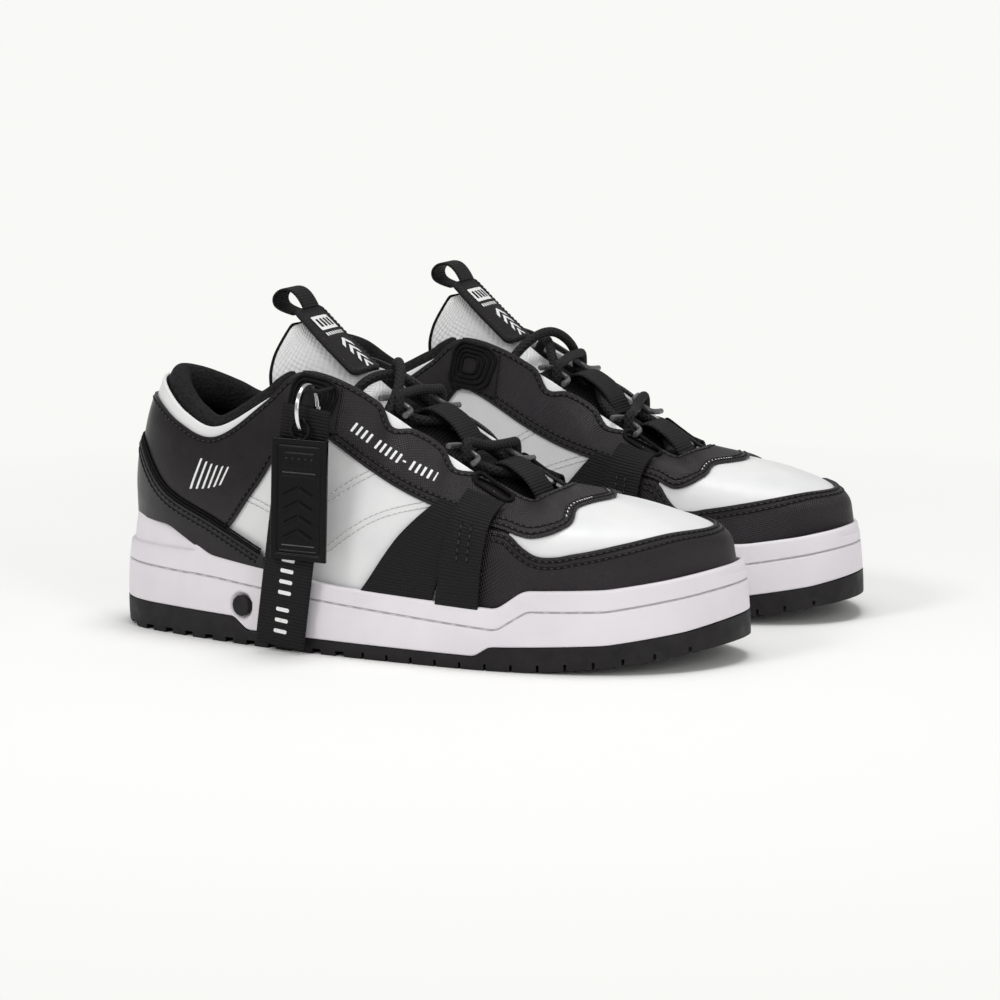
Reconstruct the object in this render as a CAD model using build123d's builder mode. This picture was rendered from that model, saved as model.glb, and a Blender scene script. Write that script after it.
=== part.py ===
"""A pair of low street sneakers with cup soles, webbing straps and a hang tag."""

import math
import os

from build123d import *

# Driving dimensions, in millimetres. Each shoe is drawn with its heel at x = 0.
SHOE_SPACING = 144.0
LEFT_SHOE_LEAD = 16.0
CENTRE_X = 158.0
CENTRE_Y = 68.9
WALL = 2.5
LACE_D = 4.6
RING_R = 11.0
RING_WIRE_R = 1.0
RING_CENTRE = (114.5, -49.5, 110.5)
TAG_LEAN = 7.5
PLATE_LEAN = 1.5

# The layers of the upper, as distances outside its middle surface.
LINING = (-3.4, -1.8)
BASE = (-1.5, 0.0)
OVERLAY = (0.2, 1.5)
SECOND = (1.7, 3.0)
THIRD = (3.2, 4.4)

# The sole's outline, from the heel round the outer side and back.
OUTLINE = [
    (0, 1), (4, -13), (14, -23), (32, -30.5), (70, -41), (120, -50), (165, -54), (205, -55),
    (235, -51), (264, -41), (284, -25), (296, -5), (300, 12), (297, 27), (286, 40),
    (264, 50.5), (232, 54.5), (205, 51), (165, 41), (120, 36.5), (70, 40), (32, 38), (13, 29),
    (3, 15),
]

# Heights along the shoe.
GROUND = [(-8, 3), (0, 2.5), (14, 0), (205, 0), (230, 1), (255, 3.4), (280, 7.2), (306, 12)]
BLACK_TOP = [(-8, 13.5), (73, 12.5), (80, 7), (197, 6), (204, 10.5), (255, 13.2), (285, 18), (306, 23.5)]
GROOVE = [(-8, 31.5), (60, 29), (126, 23.8), (207, 18.2), (221, 27), (255, 28), (285, 33), (306, 37)]
WALL_TOP = [(-8, 54), (33, 52), (57, 39), (87, 36), (126, 31.6), (207, 27.5), (219, 36), (255, 37.5),
            (280, 41), (306, 45.5)]
FLOOR = [(-8, 15), (190, 14), (215, 14.5), (255, 17.5), (306, 27)]

# The upper's middle surface: rows of points round the shoe, from the heel round the outer side.
FEATHER = [
    (6.0, 1, 17), (13, -13.5, 17), (33, -25, 17), (60, -33, 17), (84, -38.5, 17), (106, -42.3, 17),
    (137, -46.3, 17), (171, -49, 16.5), (206, -49.5, 16.5), (240, -44.3, 18.5), (262, -36.5, 20.5),
    (279.3, -20.4, 24), (293.8, 9, 27), (283, 32, 25), (261.6, 44.4, 20.5), (236, 48.4, 18.5),
    (206, 45.8, 16.5), (171, 36.5, 16.5), (137, 31, 17), (106, 32, 17), (84, 34, 17),
    (60, 35, 17), (33, 32.5, 17), (14, 20.5, 17),
]
WAIST = [
    (7.2, 1, 42), (14.6, -12.4, 42), (33, -23.8, 42), (60, -32.4, 42), (84, -38.5, 40),
    (106, -42.4, 36), (137, -46.6, 34), (171, -49.1, 33), (206, -49.6, 35), (240, -44.2, 38),
    (261.5, -35.8, 42), (278.7, -19.8, 45), (292.8, 9, 47), (281.8, 31.5, 45), (261, 43.8, 41),
    (236, 48.6, 37), (206, 45.6, 35), (172, 36.5, 33), (138, 31, 34), (106, 32, 36), (84, 34, 40),
    (60, 33.6, 42), (33, 31, 42), (16, 19, 42),
]
MIDDLE = [
    (8.5, 1, 70), (14, -14.5, 70), (33, -27.5, 68), (60, -34.5, 64), (85, -39, 66), (106, -42, 68),
    (138, -44.5, 62), (172, -47.5, 54), (206, -48.5, 51), (239, -43.5, 53), (259, -34, 55),
    (275.5, -18.5, 57), (288, 8, 57), (278.5, 30, 57), (259, 42, 55), (235, 47, 53), (206, 45, 52),
    (173, 38, 54), (138, 34, 62), (106, 34.5, 68), (85, 35, 66), (60, 35, 66), (33, 32, 68),
    (15, 18.5, 70),
]
SHOULDER = [
    (12.5, 1, 97), (18, -14.5, 95), (36, -27, 88), (60, -33.5, 82), (86, -36, 92), (106, -37, 100),
    (139, -38, 88), (173, -41, 73), (206, -42, 64), (234, -37, 63), (249, -26, 64.5),
    (259, -13, 65), (267, 5, 64.5), (261, 20, 65), (248, 32, 65.5), (230, 39, 65.5), (206, 38, 67),
    (173, 35, 75), (139, 33, 88), (106, 33.5, 100), (86, 33.5, 93), (60, 33.5, 86), (35, 30, 90),
    (18, 17, 95),
]
RIM = [
    (19, 0, 118), (26, -15, 114), (41, -25, 103), (60, -30.5, 96.8), (86, -31, 113),
    (105, -29, 125.5), (140, -26, 112), (174, -26, 92), (207, -20, 72), (212, -13, 73), (214, -7, 74),
    (215.5, -3, 75), (216, 1, 75.5), (215.5, 5, 75), (214, 10, 74.5), (212, 15, 73.5), (207, 20, 73),
    (174, 24, 92.5), (140, 25, 112.5), (105, 28, 126), (86, 29, 115), (60, 30, 103.5),
    (40, 26, 109.5), (25, 14, 116),
]
ROWS = [FEATHER, WAIST, MIDDLE, SHOULDER, RIM]

# Edges of the upper's panels: station round the shoe, share of the way up. Both sides are alike.
EYESTAY_LOW = [(4.9, 0.77), (5.4, 0.745), (6.3, 0.70), (7.2, 0.705), (8, 0.69), (8.45, 0.64), (9, 0.75),
               (9.5, 0.845), (10, 0.875), (12, 0.89)]
EYESTAY_TOP = [(4.9, 0.995), (6.0, 0.995), (6.22, 0.93), (6.5, 0.98), (6.9, 0.99), (7.12, 0.93),
               (7.4, 0.98), (8, 0.99), (9, 0.985), (12, 0.985)]
TOE_CAP_TOP = [(7.8, 0.67), (8.0, 0.67), (8.15, 0.65), (8.32, 0.56), (8.5, 0.49), (8.75, 0.475), (9, 0.49), (10, 0.53), (11, 0.56),
               (12, 0.57)]
HEEL_LOW = [(0, 0.61), (1, 0.595), (2, 0.45), (3, 0.34), (3.3, 0.36), (3.8, 0.52), (4.3, 0.65),
            (4.87, 0.755)]
HEEL_HIGH = [(0, 0.84), (1, 0.865), (2.5, 0.862), (3.3, 0.90), (4.1, 0.975), (4.87, 0.99)]
QUARTER_TOP = [(3.2, 0.70), (4.5, 0.75), (4.8, 0.80), (5.1, 0.94), (5.5, 0.975), (7.85, 0.975)]
LINING_TOP = [(0, 0.72), (4.4, 0.72), (5.3, 0.93), (7, 0.92), (9, 0.88), (12, 0.88)]
BACKSTAY_Z = [(0, 87), (1, 84), (2, 66), (3, 54), (4, 43), (4.3, 40.5)]

# The tongue's middle line from its root to its top, and how far its sides fall back.
TONGUE_MID = [(216, 62), (205, 69), (187, 81), (160, 98), (140, 110), (129, 117.5), (112, 131.5),
              (96, 144.5), (90, 149.5)]
TONGUE_BACK = [0, 0.5, 1, 6, 20, 38, 30, 8, 2]
TONGUE_DROP = [3, 6, 9, 12, 14, 16, 12, 4, 1]
TONGUE_HALF = [12, 16, 20, 22.5, 22, 20.8, 19.8, 17, 14]


def spline_value(knots, x):
    """A smooth curve through knots of (x, value)."""
    if x <= knots[0][0]:
        return knots[0][1]
    if x >= knots[-1][0]:
        return knots[-1][1]
    i = 0
    while knots[i + 1][0] < x:
        i += 1
    x0, y0 = knots[i]
    x1, y1 = knots[i + 1]
    slope = (y1 - y0) / (x1 - x0)
    before = slope
    after = slope
    if i > 0:
        before = (y1 - knots[i - 1][1]) / (x1 - knots[i - 1][0])
    if i + 2 < len(knots):
        after = (knots[i + 2][1] - y0) / (knots[i + 2][0] - x0)
    u = (x - x0) / (x1 - x0)
    h = x1 - x0
    return (
        (2 * u**3 - 3 * u**2 + 1) * y0
        + (u**3 - 2 * u**2 + u) * h * before
        + (3 * u**2 - 2 * u**3) * y1
        + (u**3 - u**2) * h * after
    )


def line_value(knots, x):
    """The height of a bent straight line at x."""
    for (x0, z0), (x1, z1) in zip(knots, knots[1:]):
        if x <= x1:
            return z0 + (z1 - z0) * max(0.0, (x - x0) / (x1 - x0))
    return knots[-1][1]


def blend4(a, b, c, d, u):
    """Catmull-Rom between b and c."""
    return tuple(
        0.5 * (2 * q + (r - p) * u + (2 * p - 5 * q + 4 * r - s) * u**2 + (3 * q - p - 3 * r + s) * u**3)
        for p, q, r, s in zip(a, b, c, d)
    )


def round_row(row, k):
    """A point on one of the closed rows, at station k."""
    i = math.floor(k)
    n = len(row)
    return blend4(row[(i - 1) % n], row[i % n], row[(i + 1) % n], row[(i + 2) % n], k - i)


def upper_point(k, t):
    """A point on the upper's middle surface, at station k and t of the way up."""
    column = [round_row(row, k) for row in ROWS]
    first = tuple(2 * a - b for a, b in zip(column[0], column[1]))
    last = tuple(2 * a - b for a, b in zip(column[4], column[3]))
    column = [first] + column + [last]
    i = min(3, max(0, math.floor(t * 4)))
    return Vector(*blend4(column[i], column[i + 1], column[i + 2], column[i + 3], t * 4 - i))


def upper(k, t, lift=0.0):
    """A point lifted off the upper's middle surface."""
    along = upper_point(k + 0.02, t) - upper_point(k - 0.02, t)
    up = upper_point(k, t + 0.005) - upper_point(k, t - 0.005)
    return upper_point(k, t) + along.cross(up).normalized() * lift


def share_at(k, z):
    """How far up the upper's surface the height z is, at station k."""
    low = 0.0
    high = 0.8
    for _ in range(24):
        mid = (low + high) / 2
        if upper_point(k, mid).Z < z:
            low = mid
        else:
            high = mid
    return low


def above_wall(k, lift=0.0):
    """The share at which a panel clears the top of the sole's wall."""
    share = 0.25
    for _ in range(3):
        share = share_at(k, line_value(WALL_TOP, upper(k, share, lift).X) + 0.8)
    return share


def fold(k):
    """The same station counted on the outer side."""
    k = k % 24
    return min(k, 24 - k)


def sheet(outer_rows, inner_rows, tol=0.01):
    """A closed sheet of material between two grids of points."""
    outer = Face.make_surface_from_array_of_points(outer_rows, tol=tol)
    inner = Face.make_surface_from_array_of_points(inner_rows, tol=tol)
    faces = [outer, inner]
    for edge in outer.edges():
        mate = min(inner.edges(), key=lambda other: (other @ 0.5 - edge @ 0.5).length)
        faces.append(Face.make_surface_from_curves(edge, mate))
    return Solid(Shell(faces)).fix()


def panel(k0, k1, low, high, layer, across, up, tol=0.01):
    """A sheet over the stretch k0 to k1 and low(k) to high(k) of the upper."""
    grids = []
    for lift in (layer[1], layer[0]):
        rows = []
        for i in range(across + 1):
            k = k0 + (k1 - k0) * i / across
            lo = low(k)
            hi = high(k)
            rows.append([upper(k, lo + (hi - lo) * j / up, lift) for j in range(up + 1)])
        grids.append(rows)
    return sheet(*grids, tol)


def tongue_point(u, v, flat=1.0):
    x = spline_value([(i, p[0]) for i, p in enumerate(TONGUE_MID)], u)
    z = spline_value([(i, p[1]) for i, p in enumerate(TONGUE_MID)], u)
    back = spline_value(list(enumerate(TONGUE_BACK)), u)
    drop = spline_value(list(enumerate(TONGUE_DROP)), u)
    half = spline_value(list(enumerate(TONGUE_HALF)), u)
    return Vector(x - back * flat * v * v, half * v, z - drop * flat * v * v)


def tongue(u, v, lift=0.0, flat=1.0):
    """A point lifted off the tongue's outer surface; a smaller flat bends less across the tongue."""
    along = tongue_point(u + 0.02, v, flat) - tongue_point(u - 0.02, v, flat)
    side = tongue_point(u, v + 0.02, flat) - tongue_point(u, v - 0.02, flat)
    return tongue_point(u, v, flat) + side.cross(along).normalized() * lift


def tongue_sheet(u0, u1, half, lifts, along, across, flat=1.0):
    """A sheet over part of the tongue; half(u) is the share of its half width."""
    grids = []
    for lift in lifts:
        rows = []
        for i in range(along + 1):
            u = u0 + (u1 - u0) * i / along
            rows.append([tongue(u, half(u) * (2 * j / across - 1), lift, flat) for j in range(across + 1)])
        grids.append(rows)
    return sheet(*grids)


def outline(inset):
    """The sole's outline, moved inwards."""
    points = []
    n = len(OUTLINE)
    for i, (x, y) in enumerate(OUTLINE):
        ax, ay = OUTLINE[i - 1]
        bx, by = OUTLINE[(i + 1) % n]
        length = math.hypot(bx - ax, by - ay)
        points.append((x - (by - ay) / length * inset, y + (bx - ax) / length * inset))
    return points


def outline_sketch(z, inset):
    with BuildSketch(Plane.XY.offset(z)) as sketch:
        with BuildLine():
            Spline(*outline(inset), periodic=True)
        make_face()
    return sketch.sketch


def side_sketch(low, high):
    """The region of the side view between two bent lines."""
    with BuildSketch(Plane.XZ.offset(-80)) as sketch:
        with BuildLine():
            Polyline(*low, *reversed(high), close=True)
        make_face()
    return sketch.sketch


def raised(line, by):
    return [(x, z + by) for x, z in line]


def sole_body(extra=0.0):
    """The sole's outer form, from below the ground to above the heel tab."""
    with BuildPart() as body:
        for z, inset in ((-1, 0.7), (14, 0), (34, 1.8), (58, 5.0)):
            add(outline_sketch(z, inset + extra))
        loft()
    return body.part


def slice_of(body, low, high):
    """The part of a body between two bent lines of the side view."""
    with BuildPart() as piece:
        extrude(side_sketch(low, high), amount=160)
        add(body, mode=Mode.INTERSECT)
    return piece.part


def tube(points, radii, radius):
    with BuildPart() as piece:
        with BuildLine() as path:
            FilletPolyline(*points, radius=radii)
        with BuildSketch(Plane(origin=path.line @ 0, z_dir=path.line % 0)):
            Circle(radius)
        sweep()
    return piece.part


print("sole")
form = sole_body()

with BuildPart() as outsole:
    add(slice_of(form, GROUND, raised(BLACK_TOP, -0.1)))
    # Square tread notches under the heel and narrow slits under the ball of the foot.
    with Locations(*[(x, 0, 0.9) for x in (10, 22, 34, 46, 58, 70, 82, 94, 106, 118, 130)]):
        Box(4.5, 130, 3.0, mode=Mode.SUBTRACT)
    with Locations(*[(x, 0, 1.2 + line_value(GROUND, x)) for x in range(142, 288, 12)]):
        Box(1.2, 130, 3.6, mode=Mode.SUBTRACT)
    with Locations((120, 0, 1.0)):
        Box(230, 5, 2.2, mode=Mode.SUBTRACT)

cavity = sole_body(WALL)

with BuildPart() as midsole:
    add(slice_of(form, raised(BLACK_TOP, 0.1), WALL_TOP))
    add(slice_of(cavity, FLOOR, raised(WALL_TOP, 20)), mode=Mode.SUBTRACT)
    # The stitched groove round the wall.
    add(slice_of(form, raised(GROOVE, -0.45), raised(GROOVE, 0.45)) - sole_body(0.7), mode=Mode.SUBTRACT)
    # The recess for the heel plug.
    with BuildSketch(Plane(origin=(73, -60, 18), x_dir=(1, 0, 0), z_dir=(0.24, 1, 0))):
        Circle(5.1)
    extrude(amount=20.2, mode=Mode.SUBTRACT)

with BuildPart() as heel_plug:
    with BuildSketch(Plane(origin=(73, -60, 18), x_dir=(1, 0, 0), z_dir=(0.24, 1, 0)).offset(17.2)):
        Circle(4.75)
    extrude(amount=2.7)
    fillet(heel_plug.faces().sort_by(Axis.Y)[0].edges(), 0.6)

inner = sole_body(11.4)
with BuildPart() as midsole_core:
    add(slice_of(inner, raised(FLOOR, 0.3), raised(FLOOR, 7.5)))

with BuildPart() as sockliner:
    add(slice_of(inner, raised(FLOOR, 7.9), raised(FLOOR, 11.5)))

print("upper")


def both(knots):
    return lambda k: spline_value(knots, fold(k))


def constant(value):
    return lambda k: value


with BuildPart() as lining:
    # Two halves, seamed at the heel and the toe.
    add(panel(0.04, 11.97, constant(0.02), both(LINING_TOP), LINING, 60, 8))
    add(panel(12.03, 23.96, constant(0.02), both(LINING_TOP), LINING, 60, 8))

with BuildPart() as vamp:
    add(panel(7.93, 16.07, constant(0.02), constant(0.97), BASE, 34, 14))

with BuildPart() as quarter_lateral:
    add(panel(3.2, 7.86, constant(0.02), both(QUARTER_TOP), BASE, 26, 12))

with BuildPart() as quarter_medial:
    add(panel(16.14, 20.8, constant(0.02), both(QUARTER_TOP), BASE, 26, 12))

with BuildPart() as heel_counter:
    # The stiff counter stands just above the sole's wall.
    add(panel(20.9, 27.1, lambda k: above_wall(k, 0.0) + 0.055, constant(0.68), BASE, 30, 8))

with BuildPart() as collar_patch:
    add(panel(19.35, 28.65, constant(0.825), constant(0.985), BASE, 44, 4))

with BuildPart() as toe_cap:
    add(panel(7.8, 16.2, lambda k: above_wall(k, 1.5), both(TOE_CAP_TOP), OVERLAY, 44, 6))

with BuildPart() as heel_panel:
    add(panel(19.13, 28.87, both(HEEL_LOW), both(HEEL_HIGH), OVERLAY, 56, 8))

with BuildPart() as backstay:
    add(
        panel(
            19.75, 28.25, lambda k: above_wall(k, 3.0),
            lambda k: share_at(k, spline_value(BACKSTAY_Z, fold(k))), SECOND, 50, 6,
        )
    )

with BuildPart() as eyestay:
    add(panel(4.95, 19.05, both(EYESTAY_LOW), both(EYESTAY_TOP), OVERLAY, 72, 8, 0.05))
    # The slots that the front straps pass through.
    with BuildSketch(Plane.XZ.offset(-80)):
        with Locations(Location((195, 75.4), -40)):
            SlotCenterToCenter(13.5, 5)
    extrude(amount=160, mode=Mode.SUBTRACT)


def strap(k_low, k_high, width_low, width_high, top, layer, medial):
    """A webbing strap from the sole's wall up to the share top, leaning along the shoe."""
    grids = []
    for lift in (layer[1], layer[0]):
        rows = []
        for i in range(9):
            edge = k_low - width_low / 2 + width_low * i / 8
            if medial:
                edge = 24 - edge
            low = above_wall(edge, layer[1])
            row = []
            for j in range(13):
                part = j / 12
                width = width_low + (width_high - width_low) * part
                k = k_low + (k_high - k_low) * part - width / 2 + width * i / 8
                if medial:
                    k = 24 - k
                row.append(upper(k, low + (top - low) * part, lift))
            rows.append(row)
        grids.append(rows)
    return sheet(*grids)


with BuildPart() as strap_lateral_diagonal:
    add(strap(6.6, 7.3, 1.05, 0.42, 0.755, SECOND, False))

with BuildPart() as strap_lateral_front:
    add(strap(7.49, 7.62, 0.58, 0.52, 0.85, THIRD, False))

with BuildPart() as strap_medial_diagonal:
    add(strap(6.6, 7.3, 1.05, 0.42, 0.755, SECOND, True))

with BuildPart() as strap_medial_front:
    add(strap(7.49, 7.62, 0.58, 0.52, 0.85, THIRD, True))

with BuildPart() as ankle_patches:
    for k0, k1 in ((4.72, 5.52), (18.48, 19.28)):
        add(panel(k0, k1, constant(0.77), constant(0.97), SECOND, 8, 8))

print("eyestay", eyestay.part.bounding_box())
print("collar")
with BuildPart() as collar_pad:
    for i in range(25):
        k = 4.7 - 9.4 * i / 24
        edge = upper_point(k, 1.0)
        ahead = upper_point(k - 0.05, 1.0) - upper_point(k + 0.05, 1.0)
        ahead = ahead.normalized()
        side = Vector(ahead.Y, -ahead.X, 0).normalized()
        share = 1 - (abs(k) / 4.7) ** 2
        thick = 2.4 + 3.0 * share
        tall = 4.5 + 4.5 * share
        centre = edge + side * (2.0 + thick) + Vector(0, 0, 3.5 - tall)
        with BuildSketch(Plane(origin=centre, x_dir=side, z_dir=ahead)):
            Ellipse(thick, tall)
    loft()

print("tongue")
with BuildPart() as tongue_base:
    add(tongue_sheet(0.15, 4.95, constant(1), (0, -5.0), 24, 14))

with BuildPart() as tongue_top:
    add(tongue_sheet(5.05, 7.2, lambda u: 0.975 - 0.25 * max(0, (u - 6.4) / 0.8) ** 2, (0, -6.0), 16, 14))

with BuildPart() as tongue_label:
    add(tongue_sheet(5.36, 7.95, lambda u: 13.5 / tongue_point(u, 1).Y, (2.6, 0.5), 16, 8, 0.2))

with BuildPart() as pull_loop:
    # A folded webbing loop standing up and back from the label's top edge.
    with BuildSketch(Plane.XZ.offset(-8)):
        with BuildLine():
            Spline((91.5, 153.2), (88.5, 158.2), (83, 159.5), (77.5, 156), (79, 150.5), (86, 148.6))
            Line((86, 148.6), (87.2, 150.2))
            Spline((87.2, 150.2), (80.6, 151.8), (79.4, 155), (83.4, 157.8), (87.4, 156.8), (89.9, 152.3))
            Line((89.9, 152.3), (91.5, 153.2))
        make_face()
    extrude(amount=16)

print("lacing")


def mid_z(x):
    """The height of the tongue's middle line at x."""
    points = list(reversed(TONGUE_MID))
    return spline_value(points, x)


with BuildPart() as centre_webbing:
    add(tongue_sheet(0.85, 4.0, lambda u: 14.0 / tongue_point(u, 1).Y, (1.1, 0.3), 20, 8))
    for x0, x1 in ((150, 175), (186, 210.5)):
        outer = [(x0 + (x1 - x0) * i / 6, mid_z(x0 + (x1 - x0) * i / 6) + 8.6) for i in range(7)]
        hollow = [(x0 + 1.5 + (x1 - x0 - 3) * i / 6, mid_z(x0 + 1.5 + (x1 - x0 - 3) * i / 6) + 7.2) for i in range(7)]
        with BuildSketch(Plane.XZ.offset(-11)):
            with BuildLine():
                Polyline(
                    (x0, mid_z(x0) + 1.0), *outer, (x1, mid_z(x1) + 1.0), (x1 - 1.5, mid_z(x1 - 1.5) + 1.0),
                    *reversed(hollow), (x0 + 1.5, mid_z(x0 + 1.5) + 1.0), close=True,
                )
            make_face()
        extrude(amount=22)

LOOPS = [(146, -16, 110.5), (149, 16, 109.0), (179, -16.5, 90.8), (186, 16.5, 86.6)]

with BuildPart() as lace_loops:
    for x, y, z in LOOPS:
        out = -1 if y < 0 else 1
        end = 23.0 * out
        add(
            tube(
                [(x - 6, end, z + 3.6), (x - 4.2, y, z + 2.6), (x + 4.2, y, z - 2.6), (x + 6, end, z - 3.6)],
                [3.0, 3.0], 1.4,
            )
        )


def round_loop(x, y, z, over, down):
    """The lace's turn round the bar of a lace loop, entered from above or from below."""
    out = -1 if y < 0 else 1
    top = z + over
    low = z - over
    turn = [(x, y - out * 0.6, top), (x, y + out * 4.6, top), (x, y + out * 4.6, low), (x, y - out * 0.6, low)]
    return turn if down else list(reversed(turn))


route = [(119, -21.0, 106), (124, -18.5, 117), (131, -10, 122.5), (137, 1, 121.5), (143, 9.5, 112)]
route += round_loop(149, 16, 109.0, 4.6, False)
route += [(147, 0, 115.4)]
route += round_loop(146, -16, 110.5, 4.6, True)
route += [(153, -13.6, 103), (160, -5, 102.3), (165, 5, 99.2), (171, 14, 93)]
route += round_loop(186, 16.5, 86.6, 4.6, False)
route += [(181, 0, 91.0)]
route += round_loop(179, -16.5, 90.8, 4.6, True)
route += [(189, -14.2, 82.4), (194, -5, 80.6), (200, 4, 76.4), (205, 13, 72.6)]


def corner_radii(points, smallest, largest):
    """As large a radius at each corner as its two runs leave room for."""
    radii = []
    for a, b, c in zip(points, points[1:], points[2:]):
        first = Vector(*b) - Vector(*a)
        second = Vector(*c) - Vector(*b)
        turn = math.radians(first.get_angle(second))
        room = 0.46 * min(first.length, second.length) / max(0.02, math.tan(turn / 2))
        radii.append(max(smallest, min(largest, room)))
    return radii


radii = corner_radii(route, 0.5, 60)
print("lace radii", [round(r, 1) for r in radii])
with BuildPart() as lace:
    add(tube(route, radii, LACE_D / 2))
print("lace volume over its section", round(lace.part.volume / (math.pi * LACE_D**2 / 4), 1))

print("tag")
# A small cord loop on the outer ankle patch holds the split ring.
anchor = upper(5.33, 0.92, 2.2)
with BuildPart() as hang_loop:
    add(
        tube(
            [
                (110.0, anchor.Y - 2.2, 118.3), (110.3, -45.5, 118.3), (118.7, -45.5, 118.3),
                (119.0, anchor.Y - 2.2, 118.3),
            ],
            [3.0, 3.0], 0.9,
        )
    )

with BuildPart() as split_ring:
    Torus(RING_R, RING_WIRE_R, rotation=(0, 90, 0))


def hung(part, pivot, lean):
    """A hanging piece, drawn straight down from the origin, at its place and lean."""
    return Pos(*pivot) * Rot(0, lean, 0) * part


with BuildPart() as strap_flat:
    with BuildSketch(Plane.XZ.offset(-1.2)):
        with Locations((0, -43)):
            RectangleRounded(24, 110, 1.5)
        Circle(2.4, mode=Mode.SUBTRACT)
    extrude(amount=2.4)

with BuildPart() as plate_flat:
    with BuildSketch(Plane.XZ.offset(-1.5)):
        with Locations((0, -31.5)):
            RectangleRounded(27, 55, 1.8)
    extrude(amount=3.0)
    # A thinner tab with the eye that hangs on the ring.
    with BuildSketch(Plane.XZ.offset(-0.8)):
        with Locations((0, -1.4)):
            RectangleRounded(10.5, 12.4, 2.5)
        Circle(3.6, mode=Mode.SUBTRACT)
    extrude(amount=1.6)
    # A shallow framed recess on the outer face.
    with BuildSketch(Plane.XZ.offset(1.5)):
        with Locations((0, -31.5)):
            RectangleRounded(22.5, 50, 1.2)
    extrude(amount=-0.6, mode=Mode.SUBTRACT)

STRAP_PIVOT = (114.5, -53.5, 100.25)
PLATE_PIVOT = (114.5, -57.0, 102.45)

right = Location((-CENTRE_X, -CENTRE_Y, 0))
left = Location((LEFT_SHOE_LEAD - CENTRE_X, SHOE_SPACING - CENTRE_Y, 0))

os.makedirs("parts", exist_ok=True)
pieces = {
    "outsole": outsole, "midsole": midsole, "midsole_core": midsole_core, "heel_plug": heel_plug,
    "sockliner": sockliner, "lining": lining, "collar_pad": collar_pad, "heel_counter": heel_counter,
    "vamp": vamp, "quarter_lateral": quarter_lateral, "quarter_medial": quarter_medial,
    "toe_cap": toe_cap, "heel_panel": heel_panel, "collar_patch": collar_patch, "backstay": backstay,
    "eyestay": eyestay, "strap_lateral_diagonal": strap_lateral_diagonal,
    "strap_lateral_front": strap_lateral_front, "strap_medial_diagonal": strap_medial_diagonal,
    "strap_medial_front": strap_medial_front, "ankle_patches": ankle_patches,
    "tongue_base": tongue_base, "tongue_top": tongue_top, "tongue_label": tongue_label,
    "pull_loop": pull_loop, "centre_webbing": centre_webbing, "lace_loops": lace_loops, "lace": lace,
}
for name, piece in pieces.items():
    for shoe, place in (("right", right), ("left", left)):
        part = piece.part
        if shoe == "left":
            part = part.mirror(Plane.XZ)
        part = part.moved(place)
        part.label = f"{shoe}_{name}"
        export_step(part, f"parts/{shoe}_{name}.step")
        if shoe == "right":
            box = part.bounding_box()
            print(name, type(part).__name__, round(part.volume), len(part.solids()), part.is_valid)
            print("   ", [round(v, 1) for v in (*box.min, *box.max)])

tag = {
    "hang_loop": hang_loop.part,
    "split_ring": Pos(*RING_CENTRE) * split_ring.part,
    "tag_strap": hung(strap_flat.part, STRAP_PIVOT, TAG_LEAN),
    "tag_plate": hung(plate_flat.part, PLATE_PIVOT, PLATE_LEAN),
}
for name, part in tag.items():
    part = right * part
    part.label = name
    export_step(part, f"parts/{name}.step")
    print(name, round(part.volume), len(part.solids()), part.is_valid)
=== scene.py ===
import math

import bpy
import numpy as np
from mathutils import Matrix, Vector


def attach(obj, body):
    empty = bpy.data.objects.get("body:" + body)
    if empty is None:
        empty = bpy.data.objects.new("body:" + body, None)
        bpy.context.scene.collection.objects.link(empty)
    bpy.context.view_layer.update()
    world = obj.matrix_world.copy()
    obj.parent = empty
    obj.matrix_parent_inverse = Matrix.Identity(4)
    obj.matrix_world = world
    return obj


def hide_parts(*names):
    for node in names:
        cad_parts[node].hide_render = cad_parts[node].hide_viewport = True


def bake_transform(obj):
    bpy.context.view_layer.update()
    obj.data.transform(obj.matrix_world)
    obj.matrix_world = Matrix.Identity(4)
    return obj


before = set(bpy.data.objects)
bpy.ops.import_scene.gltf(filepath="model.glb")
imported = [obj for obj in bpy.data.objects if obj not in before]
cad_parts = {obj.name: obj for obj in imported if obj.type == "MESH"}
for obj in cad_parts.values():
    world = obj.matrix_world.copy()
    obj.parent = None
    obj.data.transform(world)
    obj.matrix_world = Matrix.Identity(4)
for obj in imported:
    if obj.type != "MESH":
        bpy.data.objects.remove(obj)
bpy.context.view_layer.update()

# All sizes are millimetres of the right shoe: x from heel to toe, y to the inner side, z up from the ground.
# Placement of the two shoes in the row frame, as in the CAD.
CENTRE_X, CENTRE_Y = 158.0, 68.9
SPACING, LEAD = 144.0, 16.0
SIDES = ("right", "left")

OUTLINE = [
    (0, 1), (4, -13), (14, -23), (32, -30.5), (70, -41), (120, -50), (165, -54), (205, -55),
    (235, -51), (264, -41), (284, -25), (296, -5), (300, 12), (297, 27), (286, 40),
    (264, 50.5), (232, 54.5), (205, 51), (165, 41), (120, 36.5), (70, 40), (32, 38), (13, 29),
    (3, 15),
]
BLACK_TOP = [(-8, 13.5), (73, 12.5), (80, 7), (197, 6), (204, 10.5), (255, 13.2), (285, 18), (306, 23.5)]
GROOVE = [(-8, 31.5), (60, 29), (126, 23.8), (207, 18.2), (221, 27), (255, 28), (285, 33), (306, 37)]
WALL_TOP = [(-8, 54), (33, 52), (57, 39), (87, 36), (126, 31.6), (207, 27.5), (219, 36), (255, 37.5),
            (280, 41), (306, 45.5)]
WALL_INSET = [(-1, 0.7), (14, 0), (34, 1.8), (58, 5.0)]
MIDSOLE_FLOOR = [(-8, 15), (190, 14), (215, 14.5), (255, 17.5), (306, 27)]
PLUG_X, PLUG_Z, PLUG_SEAT, PLUG_DEPTH = 77.2, 18.0, 6.2, 2.4
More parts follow.
